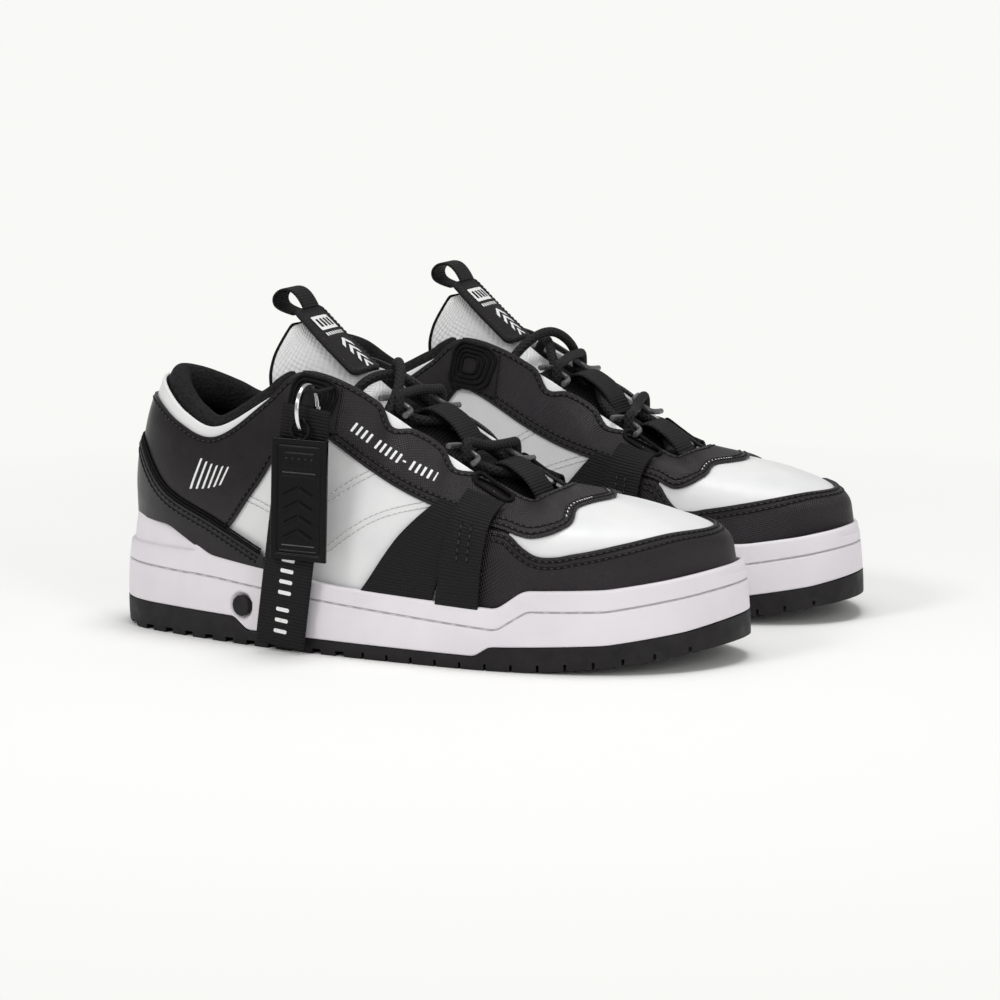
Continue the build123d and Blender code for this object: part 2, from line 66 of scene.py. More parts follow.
# The upper, as five rows of 24 stations, each from the heel round the outer side to the toe and back.
ROWS = np.array([
    [(6.0, 1, 17), (13, -13.5, 17), (33, -25, 17), (60, -33, 17), (84, -38.5, 17), (106, -42.3, 17),
     (137, -46.3, 17), (171, -49, 16.5), (206, -49.5, 16.5), (240, -44.3, 18.5), (262, -36.5, 20.5),
     (279.3, -20.4, 24), (293.8, 9, 27), (283, 32, 25), (261.6, 44.4, 20.5), (236, 48.4, 18.5),
     (206, 45.8, 16.5), (171, 36.5, 16.5), (137, 31, 17), (106, 32, 17), (84, 34, 17),
     (60, 35, 17), (33, 32.5, 17), (14, 20.5, 17)],
    [(7.2, 1, 42), (14.6, -12.4, 42), (33, -23.8, 42), (60, -32.4, 42), (84, -38.5, 40),
     (106, -42.4, 36), (137, -46.6, 34), (171, -49.1, 33), (206, -49.6, 35), (240, -44.2, 38),
     (261.5, -35.8, 42), (278.7, -19.8, 45), (292.8, 9, 47), (281.8, 31.5, 45), (261, 43.8, 41),
     (236, 48.6, 37), (206, 45.6, 35), (172, 36.5, 33), (138, 31, 34), (106, 32, 36), (84, 34, 40),
     (60, 33.6, 42), (33, 31, 42), (16, 19, 42)],
    [(8.5, 1, 70), (14, -14.5, 70), (33, -27.5, 68), (60, -34.5, 64), (85, -39, 66), (106, -42, 68),
     (138, -44.5, 62), (172, -47.5, 54), (206, -48.5, 51), (239, -43.5, 53), (259, -34, 55),
     (275.5, -18.5, 57), (288, 8, 57), (278.5, 30, 57), (259, 42, 55), (235, 47, 53), (206, 45, 52),
     (173, 38, 54), (138, 34, 62), (106, 34.5, 68), (85, 35, 66), (60, 35, 66), (33, 32, 68),
     (15, 18.5, 70)],
    [(12.5, 1, 97), (18, -14.5, 95), (36, -27, 88), (60, -33.5, 82), (86, -36, 92), (106, -37, 100),
     (139, -38, 88), (173, -41, 73), (206, -42, 64), (234, -37, 63), (249, -26, 64.5),
     (259, -13, 65), (267, 5, 64.5), (261, 20, 65), (248, 32, 65.5), (230, 39, 65.5), (206, 38, 67),
     (173, 35, 75), (139, 33, 88), (106, 33.5, 100), (86, 33.5, 93), (60, 33.5, 86), (35, 30, 90),
     (18, 17, 95)],
    [(19, 0, 118), (26, -15, 114), (41, -25, 103.6), (60, -30.5, 98.6), (86, -31, 113),
     (105, -29, 125.5), (140, -26, 112), (174, -26, 92), (207, -20, 72), (212, -13, 73), (214, -7, 74),
     (215.5, -3, 75), (216, 1, 75.5), (215.5, 5, 75), (214, 10, 74.5), (212, 15, 73.5), (207, 20, 73),
     (174, 24, 92.5), (140, 25, 112.5), (105, 28, 126), (86, 29, 115), (60, 30, 103.5),
     (40, 26, 109.5), (25, 14, 116)],
], float)
# Panel edges: the station, and the share of the upper's height there (0 at the sole, 1 at the top edge).
# BACKSTAY_Z gives a height in millimetres instead.
EYESTAY_LOW = [(4.9, 0.77), (5.4, 0.745), (6.3, 0.70), (7.2, 0.705), (8, 0.69), (8.45, 0.64), (9, 0.75),
               (9.5, 0.845), (10, 0.875), (12, 0.89)]
EYESTAY_TOP = [(4.9, 0.995), (6.0, 0.995), (6.22, 0.93), (6.5, 0.98), (6.9, 0.99), (7.12, 0.93),
               (7.4, 0.98), (8, 0.99), (9, 0.985), (12, 0.985)]
TOE_CAP_TOP = [(7.4, 0.67), (8.0, 0.67), (8.15, 0.65), (8.32, 0.56), (8.5, 0.49), (8.75, 0.475),
               (9, 0.49), (10, 0.53), (11, 0.56), (12, 0.57)]
HEEL_LOW = [(0, 0.61), (1, 0.595), (2, 0.45), (3, 0.34), (3.3, 0.36), (3.8, 0.52), (4.3, 0.65),
            (4.87, 0.755)]
HEEL_HIGH = [(0, 0.87), (1, 0.90), (2.5, 0.905), (3.3, 0.925), (4.1, 0.975), (4.87, 0.99)]
QUARTER_TOP = [(3.2, 0.70), (4.5, 0.75), (4.8, 0.80), (5.1, 0.94), (5.5, 0.975), (7.85, 0.975)]
LINING_TOP = [(0, 0.72), (4.4, 0.72), (5.3, 0.93), (7, 0.92), (9, 0.88), (12, 0.88)]
BACKSTAY_Z = [(0, 87), (1, 84), (2, 66), (3, 54), (4, 43), (4.3, 40.5)]
# The tongue's middle line in x and z from the toe up, then its fall-back, drop and half width at each point.
TONGUE_MID = [(216, 62), (205, 69), (187, 81), (160, 98), (140, 110), (129, 117.5), (112, 131.5),
              (96, 144.5), (90, 149.5)]
TONGUE_BACK = [0, 0.5, 1, 6, 20, 38, 30, 8, 2]
TONGUE_DROP = [3, 6, 9, 12, 14, 16, 12, 4, 1]
TONGUE_HALF = [12, 16, 20, 22.5, 22, 20.8, 19.8, 17, 14]


# ---------------------------------------------------------------- curves and surfaces
def spline(knots, x):
    """A smooth curve through knots of (x, value)."""
    kn = np.array(knots, float)
    x = np.clip(np.asarray(x, float), kn[0, 0], kn[-1, 0])
    slope = np.empty(len(kn))
    slope[1:-1] = (kn[2:, 1] - kn[:-2, 1]) / (kn[2:, 0] - kn[:-2, 0])
    slope[0] = (kn[1, 1] - kn[0, 1]) / (kn[1, 0] - kn[0, 0])
    slope[-1] = (kn[-1, 1] - kn[-2, 1]) / (kn[-1, 0] - kn[-2, 0])
    i = np.clip(np.searchsorted(kn[:, 0], x, side="right") - 1, 0, len(kn) - 2)
    h = kn[i + 1, 0] - kn[i, 0]
    u = (x - kn[i, 0]) / h
    return (
        (2 * u**3 - 3 * u**2 + 1) * kn[i, 1] + (u**3 - 2 * u**2 + u) * h * slope[i]
        + (3 * u**2 - 2 * u**3) * kn[i + 1, 1] + (u**3 - u**2) * h * slope[i + 1]
    )


def bent(knots, x):
    kn = np.array(knots, float)
    return np.interp(x, kn[:, 0], kn[:, 1])


def soft_bent(knots, x, width=3.0):
    """A bent line with its corners eased."""
    return sum(bent(knots, x + d) for d in np.linspace(-width, width, 5)) / 5


def four(a, b, c, d, u):
    """A smooth step from b to c, with a and d as the neighbours."""
    return 0.5 * (2 * b + (c - a) * u + (2 * a - 5 * b + 4 * c - d) * u**2 + (3 * b - a - 3 * c + d) * u**3)


def upper_point(k, t):
    """The point of the upper at station k and height share t."""
    k, t = np.broadcast_arrays(np.asarray(k, float), np.asarray(t, float))
    i = np.floor(k).astype(int)
    u = (k - i)[..., None]
    n = ROWS.shape[1]
    col = np.stack([
        four(r[(i - 1) % n], r[i % n], r[(i + 1) % n], r[(i + 2) % n], u) for r in ROWS
    ])
    col = np.concatenate([2 * col[:1] - col[1:2], col, 2 * col[4:] - col[3:4]])
    j = np.clip(np.floor(t * 4).astype(int), 0, 3)
    w = (t * 4 - j)[..., None]
    pick = [np.take_along_axis(col, (j + s)[None, ..., None] + np.zeros((1,) + k.shape + (3,), int), 0)[0]
            for s in range(4)]
    return four(*pick, w)


def upper_normal(k, t):
    n = np.cross(upper_point(k + 0.02, t) - upper_point(k - 0.02, t),
                 upper_point(k, t + 0.005) - upper_point(k, t - 0.005))
    return n / np.linalg.norm(n, axis=-1, keepdims=True)


def upper(k, t, lift=0.0):
    """A point lifted off the upper."""
    k, t = np.broadcast_arrays(np.asarray(k, float), np.asarray(t, float))
    return upper_point(k, t) + upper_normal(k, t) * np.asarray(lift, float)[..., None]


def share_at(k, z):
    """The height share where a station of the upper reaches the height z."""
    k, z = np.broadcast_arrays(np.asarray(k, float), np.asarray(z, float))
    low, high = np.zeros(k.shape), np.full(k.shape, 0.8)
    for _ in range(22):
        mid = (low + high) / 2
        below = upper_point(k, mid)[..., 2] < z
        low, high = np.where(below, mid, low), np.where(below, high, mid)
    return low


def above_wall(k, lift, gap=-1.2):
    """The share where a panel meets the top of the sole's wall, tucked a little behind it."""
    k = np.asarray(k, float)
    share = np.full(k.shape, 0.25)
    for _ in range(3):
        share = share_at(k, soft_bent(WALL_TOP, upper(k, share, lift)[..., 0]) + gap)
    return share


def fold(k):
    """The outer side's station that an inner side's station mirrors."""
    k = np.asarray(k, float) % 24
    return np.minimum(k, 24 - k)


def both(knots):
    """An edge that is the same on both sides of the shoe."""
    return lambda k: spline(knots, fold(k))


def backstay_top(k):
    return share_at(k, both(BACKSTAY_Z)(k))


def move_in(k, t, d):
    """Moves a line on the upper sideways by d millimetres, upwards where d is positive."""
    k, t = np.asarray(k, float), np.asarray(t, float)
    pk = (upper_point(k + 0.02, t) - upper_point(k - 0.02, t)) / 0.04
    pt = (upper_point(k, t + 0.005) - upper_point(k, t - 0.005)) / 0.01
    p = upper_point(k, t)
    along = np.gradient(p, axis=0)
    n = np.cross(pk, pt)
    side = np.cross(n, along)
    side /= np.linalg.norm(side, axis=-1, keepdims=True)
    side = side * d * np.sign((side * pt).sum(-1) + 1e-9)[:, None]
    a, b, c = (pk * pk).sum(-1), (pk * pt).sum(-1), (pt * pt).sum(-1)
    e, f = (pk * side).sum(-1), (pt * side).sum(-1)
    det = a * c - b * b
    return k + (e * c - b * f) / det, t + (a * f - b * e) / det


def up_tongue(values, u):
    return spline(list(enumerate(values)), u)


def tongue_point(u, v, flat=1.0):
    """The point of the tongue at place u of its middle line and share v of its half width."""
    x, z = (up_tongue(values, u) for values in zip(*TONGUE_MID))
    back, drop = up_tongue(TONGUE_BACK, u), up_tongue(TONGUE_DROP, u)
    return np.stack([x - back * flat * v * v, up_tongue(TONGUE_HALF, u) * v, z - drop * flat * v * v], -1)


def tongue(u, v, lift=0.0, flat=1.0):
    """A point lifted off the tongue; a smaller flat bends less across it."""
    u, v = np.broadcast_arrays(np.asarray(u, float), np.asarray(v, float))
    n = np.cross(tongue_point(u, v + 0.02, flat) - tongue_point(u, v - 0.02, flat),
                 tongue_point(u + 0.02, v, flat) - tongue_point(u - 0.02, v, flat))
    n /= np.linalg.norm(n, axis=-1, keepdims=True)
    return tongue_point(u, v, flat) + n * np.asarray(lift, float)[..., None]


def half_share(u, half):
    """The share of the tongue's half width at a distance from its middle."""
    return half / up_tongue(TONGUE_HALF, u)


def ring_spline(points, count):
    """Evenly spaced points on a smooth closed curve, and its inward normals."""
    p = np.array(points, float)
    n = len(p)
    h = np.linalg.norm(np.roll(p, -1, 0) - p, axis=1)
    m = np.zeros((n, n))
    rhs = np.zeros((n, 2))
    for i in range(n):
        a, b = h[i - 1], h[i]
        m[i, (i - 1) % n], m[i, i], m[i, (i + 1) % n] = b, 2 * (a + b), a
        rhs[i] = 3 * (b * (p[i] - p[i - 1]) / a + a * (p[(i + 1) % n] - p[i]) / b)
    d = np.linalg.solve(m, rhs)
    fine = []
    for i in range(n):
        u = np.linspace(0, 1, 60, endpoint=False)[:, None]
        q = p[(i + 1) % n]
        fine.append((2 * u**3 - 3 * u**2 + 1) * p[i] + (u**3 - 2 * u**2 + u) * h[i] * d[i]
                    + (3 * u**2 - 2 * u**3) * q + (u**3 - u**2) * h[i] * d[(i + 1) % n])
    fine = np.concatenate(fine)
    loop = closed(fine)
    s = run_of(loop)
    at = np.linspace(0, s[-1], count, endpoint=False)
    out = np.stack([np.interp(at, s, loop[:, c]) for c in range(2)], 1)
    tan = np.roll(out, -2, 0) - np.roll(out, 2, 0)
    tan /= np.linalg.norm(tan, axis=1, keepdims=True)
    return out, np.stack([-tan[:, 1], tan[:, 0]], 1)


def curve_through(points, steps=10):
    """The smooth line that a row of control points pulls along, ends included."""
    p = np.array(points, float)
    mids = (p[1:] + p[:-1]) / 2
    u = np.linspace(0, 1, steps, endpoint=False)[:, None]
    line = [p[:1]]
    for i in range(1, len(p) - 1):
        a = p[0] if i == 1 else mids[i - 1]
        c = p[-1] if i == len(p) - 2 else mids[i]
        line.append((1 - u) ** 2 * a + 2 * u * (1 - u) * p[i] + u**2 * c)
    line.append(p[-1:])
    line = np.concatenate(line)
    keep = np.concatenate([[True], np.linalg.norm(np.diff(line, axis=0), axis=1) > 1e-4])
    return line[keep]


def run_of(line):
    """The length along a line at each of its points."""
    return np.concatenate([[0], np.cumsum(np.linalg.norm(np.diff(line, axis=0), axis=1))])


def closed(ring):
    return np.vstack([ring, ring[:1]])


def spaced(line, step):
    s = run_of(line)
    at = np.arange(0, s[-1] + 1e-6, s[-1] / max(1, round(s[-1] / step)))
    return np.stack([np.interp(at, s, line[:, c]) for c in range(line.shape[1])], 1)


# ---------------------------------------------------------------- meshes
MATS = {}


def place(points, side):
    """Right-shoe millimetres to metres in the row frame."""
    p = np.array(points, float)
    if side == "left":
        p = p * (1, -1, 1) + (LEAD, SPACING, 0)
    return (p - (CENTRE_X, CENTRE_Y, 0)) * 0.001


class Heap:
    """Points, faces and UVs gathered into one mesh."""

    def __init__(self):
        self.p, self.f, self.uv, self.n = [], [], [], 0

    def add(self, points, faces, uv=None):
        points = np.asarray(points, float).reshape(-1, 3)
        faces = [tuple(int(i) + self.n for i in f) for f in faces]
        self.p.append(points)
        self.f += faces
        uv = np.zeros((len(points), 2)) if uv is None else np.asarray(uv, float).reshape(-1, 2)
        self.uv.append(uv)
        self.n += len(points)


def quads(nu, nv, wrap_u=False, wrap_v=False):
    faces = []
    for i in range(nu if wrap_u else nu - 1):
        for j in range(nv if wrap_v else nv - 1):
            a, b = i * nv + j, ((i + 1) % nu) * nv + j
            c, d = ((i + 1) % nu) * nv + (j + 1) % nv, i * nv + (j + 1) % nv
            faces.append((a, b, c, d))
    return faces


def turned(faces):
    return [tuple(reversed(f)) for f in faces]


def lengths(grid):
    """UVs in millimetres along a grid's two directions."""
    mid_v, mid_u = grid.shape[1] // 2, grid.shape[0] // 2
    return np.stack(np.meshgrid(run_of(grid[:, mid_v]), run_of(grid[mid_u]), indexing="ij"), -1)


def object_from(name, heap, material, side, body, nodes=(), slot=None, solid=0.0, bevel=0.0):
    """A mesh object on its body, standing for the CAD nodes named."""
    points = place(np.concatenate(heap.p), side)
    faces = turned(heap.f) if side == "left" else heap.f
    uv = np.concatenate(heap.uv)
    mesh = bpy.data.meshes.new(name)
    mesh.from_pydata(points.tolist(), [], faces)
    layer = mesh.uv_layers.new(name="UVMap")
    index = np.zeros(len(mesh.loops), np.int32)
    mesh.loops.foreach_get("vertex_index", index)
    layer.data.foreach_set("uv", uv[index].astype(np.float32).ravel())
    mesh.polygons.foreach_set("use_smooth", np.ones(len(mesh.polygons), bool))
    mesh.materials.append(MATS[material])
    mesh.update()
    o = bpy.data.objects.new(name, mesh)
    bpy.context.scene.collection.objects.link(o)
    if solid:
        m = o.modifiers.new("thickness", "SOLIDIFY")
        m.thickness, m.offset, m.use_even_offset = solid * 0.001, -1, True
    if bevel:
        m = o.modifiers.new("edge", "BEVEL")
        m.width, m.segments, m.limit_method, m.angle_limit = bevel * 0.001, 3, "ANGLE", math.radians(50)
    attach(o, body)
    if nodes:
        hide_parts(*nodes)
    slot or material
    return o


def pair(name, heap, material, nodes=(), body="shoe", **more):
    """The same piece on both shoes."""
    made = []
    for side in SIDES:
        made.append(object_from(f"{side}_{name}", heap, material, side, f"{side}_{body}",
                                [f"{side}_{n}" for n in nodes], **more))
    return made


def grid_heap(grid, heap=None):
    heap = heap or Heap()
    heap.add(grid, quads(*grid.shape[:2]), lengths(grid))
    return heap


def region(k0, k1, low, high, lift, step_k=1.6, rows=24, count=None):
    """A grid over the stretch k0 to k1, low(k) to high(k) of the upper."""
    n = count or int(abs(k1 - k0) * 30 / step_k) + 2
    k = np.linspace(k0, k1, n)[:, None]
    b = np.linspace(0, 1, rows)[None, :]
    lo, hi = low(k), high(k)
    t = lo + (hi - lo) * b
    return upper(k + 0 * b, t, lift)


def tube(line, radius, around=10, heap=None, cap=True):
    """A round tube along a line, with UVs of turns and millimetres."""
    line = np.asarray(line, float)
    tan = np.gradient(line, axis=0)
    tan /= np.linalg.norm(tan, axis=1, keepdims=True)
    side = np.cross(tan[0], (0, 0, 1.0))
    if np.linalg.norm(side) < 0.1:
        side = np.cross(tan[0], (0, 1.0, 0))
    side /= np.linalg.norm(side)
    s = run_of(line)
    ang = np.linspace(0, 2 * math.pi, around + 1)
    rows, uvs = [], []
    for i in range(len(line)):
        side = side - tan[i] * (side @ tan[i])
        side /= np.linalg.norm(side)
        top = np.cross(tan[i], side)
        rows.append(line[i] + radius * (np.cos(ang)[:, None] * side + np.sin(ang)[:, None] * top))
        uvs.append(np.stack([ang / (2 * math.pi), np.full(around + 1, s[i])], 1))
    rows, uvs = np.array(rows), np.array(uvs)
    heap = heap or Heap()
    faces = [(a, d, c, b) for a, b, c, d in quads(len(line), around + 1)]
    heap.add(rows, faces, uvs)
    if cap:
        for end, flip in ((0, False), (len(line) - 1, True)):
            ring = rows[end][:-1]
            tip = line[end] + tan[end] * radius * (0.4 if flip else -0.4)
            turns = [(i, (i + 1) % around) for i in range(around)]
            f = [(a, b, around) if flip else (b, a, around) for a, b in turns]
            heap.add(np.vstack([ring, tip]), f, np.vstack([uvs[end][:-1], uvs[end][:1]]))
    return heap


def loft(heap, rings, uv=None, flip=False):
    """A closed body through rings of points, with a face at each end."""
    n, m = rings.shape[:2]
    faces = quads(n, m, wrap_v=True)
    if flip:
        faces = turned(faces)
    faces += [tuple(reversed(range(m))), tuple((n - 1) * m + j for j in range(m))]
    heap.add(rings, faces, uv)
    return heap


def stitches(heap, line, normals, pitch, length, r):
    """Raised thread stitches along a line, upright where no normals are given."""
    line = np.asarray(line, float)
    s = run_of(line)
    count = max(1, int(s[-1] / pitch))
    at = (np.arange(count) + 0.5) * s[-1] / count
    ends = [np.stack([np.interp(at + d, s, line[:, c]) for c in range(3)], 1)
            for d in (-length / 2, length / 2)]
    if normals is None:
        normals = np.zeros_like(line) + (0, 0, 1)
    nrm = np.stack([np.interp(at, s, normals[:, c]) for c in range(3)], 1)
    shape = [(-0.5, 0.25), (-0.4, 0.85), (0, 1.12), (0.4, 0.85), (0.5, 0.25)]
    ang = np.linspace(0, 2 * math.pi, 6, endpoint=False)
    faces = quads(5, 6, wrap_v=True) + [(5, 4, 3, 2, 1, 0), (24, 25, 26, 27, 28, 29)]
    for i in range(count):
        d = ends[1][i] - ends[0][i]
        size = np.linalg.norm(d)
        if size < 1e-6:
            continue
        d /= size
        n = nrm[i] - d * (nrm[i] @ d)
        n /= np.linalg.norm(n) + 1e-9
        b = np.cross(d, n)
        c = (ends[0][i] + ends[1][i]) / 2
        round_it = np.cos(ang)[:, None] * b + 0.8 * np.sin(ang)[:, None] * n
        heap.add([c + d * x * length + r * w * round_it for x, w in shape], faces)


def seam_on_upper(heap, shade_line, k, t, lift, inset, thread=(3.0, 2.2, 0.42), shade_line_r=0.75):
    """A row of stitches a few millimetres inside a panel's edge, over a sunk tube whose dark colour paints
    the shade of the stitch channel.
    """
    k, t = move_in(k, t, inset)
    stitches(heap, upper(k, t, lift), upper_normal(k, t), *thread)
    tube(spaced(upper(k, t, lift - 0.6 * shade_line_r), 1.2), shade_line_r, 8, shade_line)


def bar(w, h, r=0.0, n=4):
    """A rectangle with rounded corners, as a ring of points."""
    r = max(r, 0.01)
    pts = []
    for quarter, (x, y) in enumerate(((1, 1), (-1, 1), (-1, -1), (1, -1))):
        for a in np.radians(np.linspace(90 * quarter, 90 * quarter + 90, n)):
            pts.append((x * (w / 2 - r) + r * math.cos(a), y * (h / 2 - r) + r * math.sin(a)))
    return np.array(pts)


def add_shape(heap, put, ring, rings=3):
    """A filled flat shape: put turns (across, up) millimetres into points."""
    ring = np.array(ring, float)
    if run_of(closed(ring))[-1] > 14:
        ring = spaced(closed(ring), 0.8)[:-1]
    mid = ring.mean(0)
    rows = [put(mid + (ring - mid) * q) for q in np.linspace(1, 0.03, rings + 1)]
    heap.add(rows, quads(len(rows), len(ring), wrap_v=True))


def frame_at(k, t):
    """The upper's two slopes at a point, and the level and upright directions there."""
    pk = (upper_point(k + 0.05, t) - upper_point(k - 0.05, t)) / 0.1
    pt = (upper_point(k, t + 0.02) - upper_point(k, t - 0.02)) / 0.04
    n = np.cross(pk, pt)
    e1 = pk / np.linalg.norm(pk)
    return pk, pt, e1, np.cross(n / np.linalg.norm(n), e1)


def on_upper(k, t, lift, turn=0.0):
    """A map from (across, up) millimetres round a point of the upper to the upper's surface."""
    pk, pt, e1, e2 = frame_at(k, t)
    a, b, d = pk @ pk, pk @ pt, pt @ pt
    det = a * d - b * b
    c, s = math.cos(turn), math.sin(turn)

    def put(xy):
        xy = np.asarray(xy, float) @ np.array([[c, s], [-s, c]])
        off = xy[:, :1] * e1 + xy[:, 1:] * e2
        e, f = off @ pk, off @ pt
        return upper(k + (e * d - b * f) / det, t + (a * f - b * e) / det, lift)

    return put


def local_on_upper(k, t, points, turn=0.0):
    """The (across, up) millimetres of points round a point of the upper."""
    _, _, e1, e2 = frame_at(k, t)
    d = points - upper_point(k, t)
    xy = np.stack([d @ e1, d @ e2], -1)
    c, s = math.cos(-turn), math.sin(-turn)
    return xy @ np.array([[c, s], [-s, c]])


def find_on_upper(x, z, k0, k1):
    """The place on the upper, between two stations, seen at x and z from the side."""
    k, t = np.meshgrid(np.linspace(k0, k1, 120), np.linspace(0.3, 1, 120), indexing="ij")
    p = upper_point(k, t)
    i = np.argmin((p[..., 0] - x) ** 2 + (p[..., 2] - z) ** 2)
    return float(k.flat[i]), float(t.flat[i])


# ---------------------------------------------------------------- materials
class Look:
    """A procedural material, built up from heights, tints and roughness."""

    def __init__(self, name, color, rough, **sockets):
        self.mat = bpy.data.materials.new(name)
        self.mat.use_nodes = True
        self.tree = self.mat.node_tree
        self.bsdf = self.tree.nodes["Principled BSDF"]
        self.bsdf.inputs["Base Color"].default_value = (*color, 1)
        self.bsdf.inputs["Roughness"].default_value = rough
        for key, value in sockets.items():
            self.bsdf.inputs[key.replace("_", " ")].default_value = value
        self.coord = self.tree.nodes.new("ShaderNodeTexCoord")
        self.last = None
        MATS[name] = self.mat

    def node(self, kind, links=None, inputs=None, **attrs):
        n = self.tree.nodes.new("ShaderNode" + kind)
        for key, value in attrs.items():
            setattr(n, key, value)
        for key, value in (inputs or {}).items():
            n.inputs[key].default_value = value
        for key, socket in (links or {}).items():
            self.tree.links.new(socket, n.inputs[key])
        return n

    def noise(self, size_mm, detail):
        values = {"Scale": 1000 / size_mm, "Detail": detail, "Roughness": 0.55}
        return self.node("TexNoise", {"Vector": self.coord.outputs["Object"]}, values).outputs["Fac"]

    def cells(self, size_mm):
        n = self.node("TexVoronoi", {"Vector": self.coord.outputs["Object"]}, {"Scale": 1000 / size_mm})
        return n.outputs["Distance"]

    def math(self, op, *values):
        n = self.node("Math", operation=op)
        for i, v in enumerate(values):
            if isinstance(v, (int, float)):
                n.inputs[i].default_value = v
            else:
                self.tree.links.new(v, n.inputs[i])
        return n.outputs[0]

    def uv_parts(self):
        n = self.node("SeparateXYZ", {"Vector": self.coord.outputs["UV"]})
        return n.outputs["X"], n.outputs["Y"]

    def wave(self, a, pitch):
        return self.math("SINE", self.math("MULTIPLY", a, 2 * math.pi / pitch))

    def ribs(self, pitch, yarn):
        """Ribbed webbing: ribs across, yarns staggered from rib to rib."""
        x, y = self.uv_parts()
        row = self.math("DIVIDE", y, pitch)
        rib = self.math("ABSOLUTE", self.math("SINE", self.math("MULTIPLY", row, math.pi)))
        shift = self.math("MULTIPLY", self.math("FLOOR", row), 0.5)
        col = self.math("MULTIPLY", self.math("ADD", self.math("DIVIDE", x, yarn), shift), math.pi)
        stitch = self.math("MULTIPLY", self.math("ABSOLUTE", self.math("SINE", col)), 0.45)
        return self.math("MULTIPLY", rib, self.math("ADD", stitch, 0.55))

    def twill(self, pitch):
        x, y = self.uv_parts()
        one = self.wave(self.math("ADD", x, self.math("MULTIPLY", y, 0.6)), pitch)
        two = self.wave(self.math("SUBTRACT", y, self.math("MULTIPLY", x, 0.35)), pitch * 0.8)
        return self.math("ADD", self.math("MULTIPLY", one, 0.5), self.math("MULTIPLY", two, 0.35))

    def height(self, socket, mm, strength):
        links = {"Height": socket}
        if self.last:
            links["Normal"] = self.last
        n = self.node("Bump", links, {"Strength": strength, "Distance": mm * 0.001})
        self.last = n.outputs["Normal"]
        self.tree.links.new(self.last, self.bsdf.inputs["Normal"])

    def spread(self, socket, low, high, a=0.3, b=0.7):
        values = {"From Min": a, "From Max": b, "To Min": low, "To Max": high}
        return self.node("MapRange", {"Value": socket}, values).outputs[0]

    def rough(self, socket, low, high, a=0.3, b=0.7):
        self.tree.links.new(self.spread(socket, low, high, a, b), self.bsdf.inputs["Roughness"])

    def tint(self, socket, low, high, a=0.3, b=0.7):
        n = self.node("Mix", data_type="RGBA")
        self.tree.links.new(self.spread(socket, 0, 1, a, b), n.inputs[0])
        n.inputs[6].default_value = (*low, 1)
        n.inputs[7].default_value = (*high, 1)
        self.tree.links.new(n.outputs[2], self.bsdf.inputs["Base Color"])


def grey(v):
    return (v, v, v)


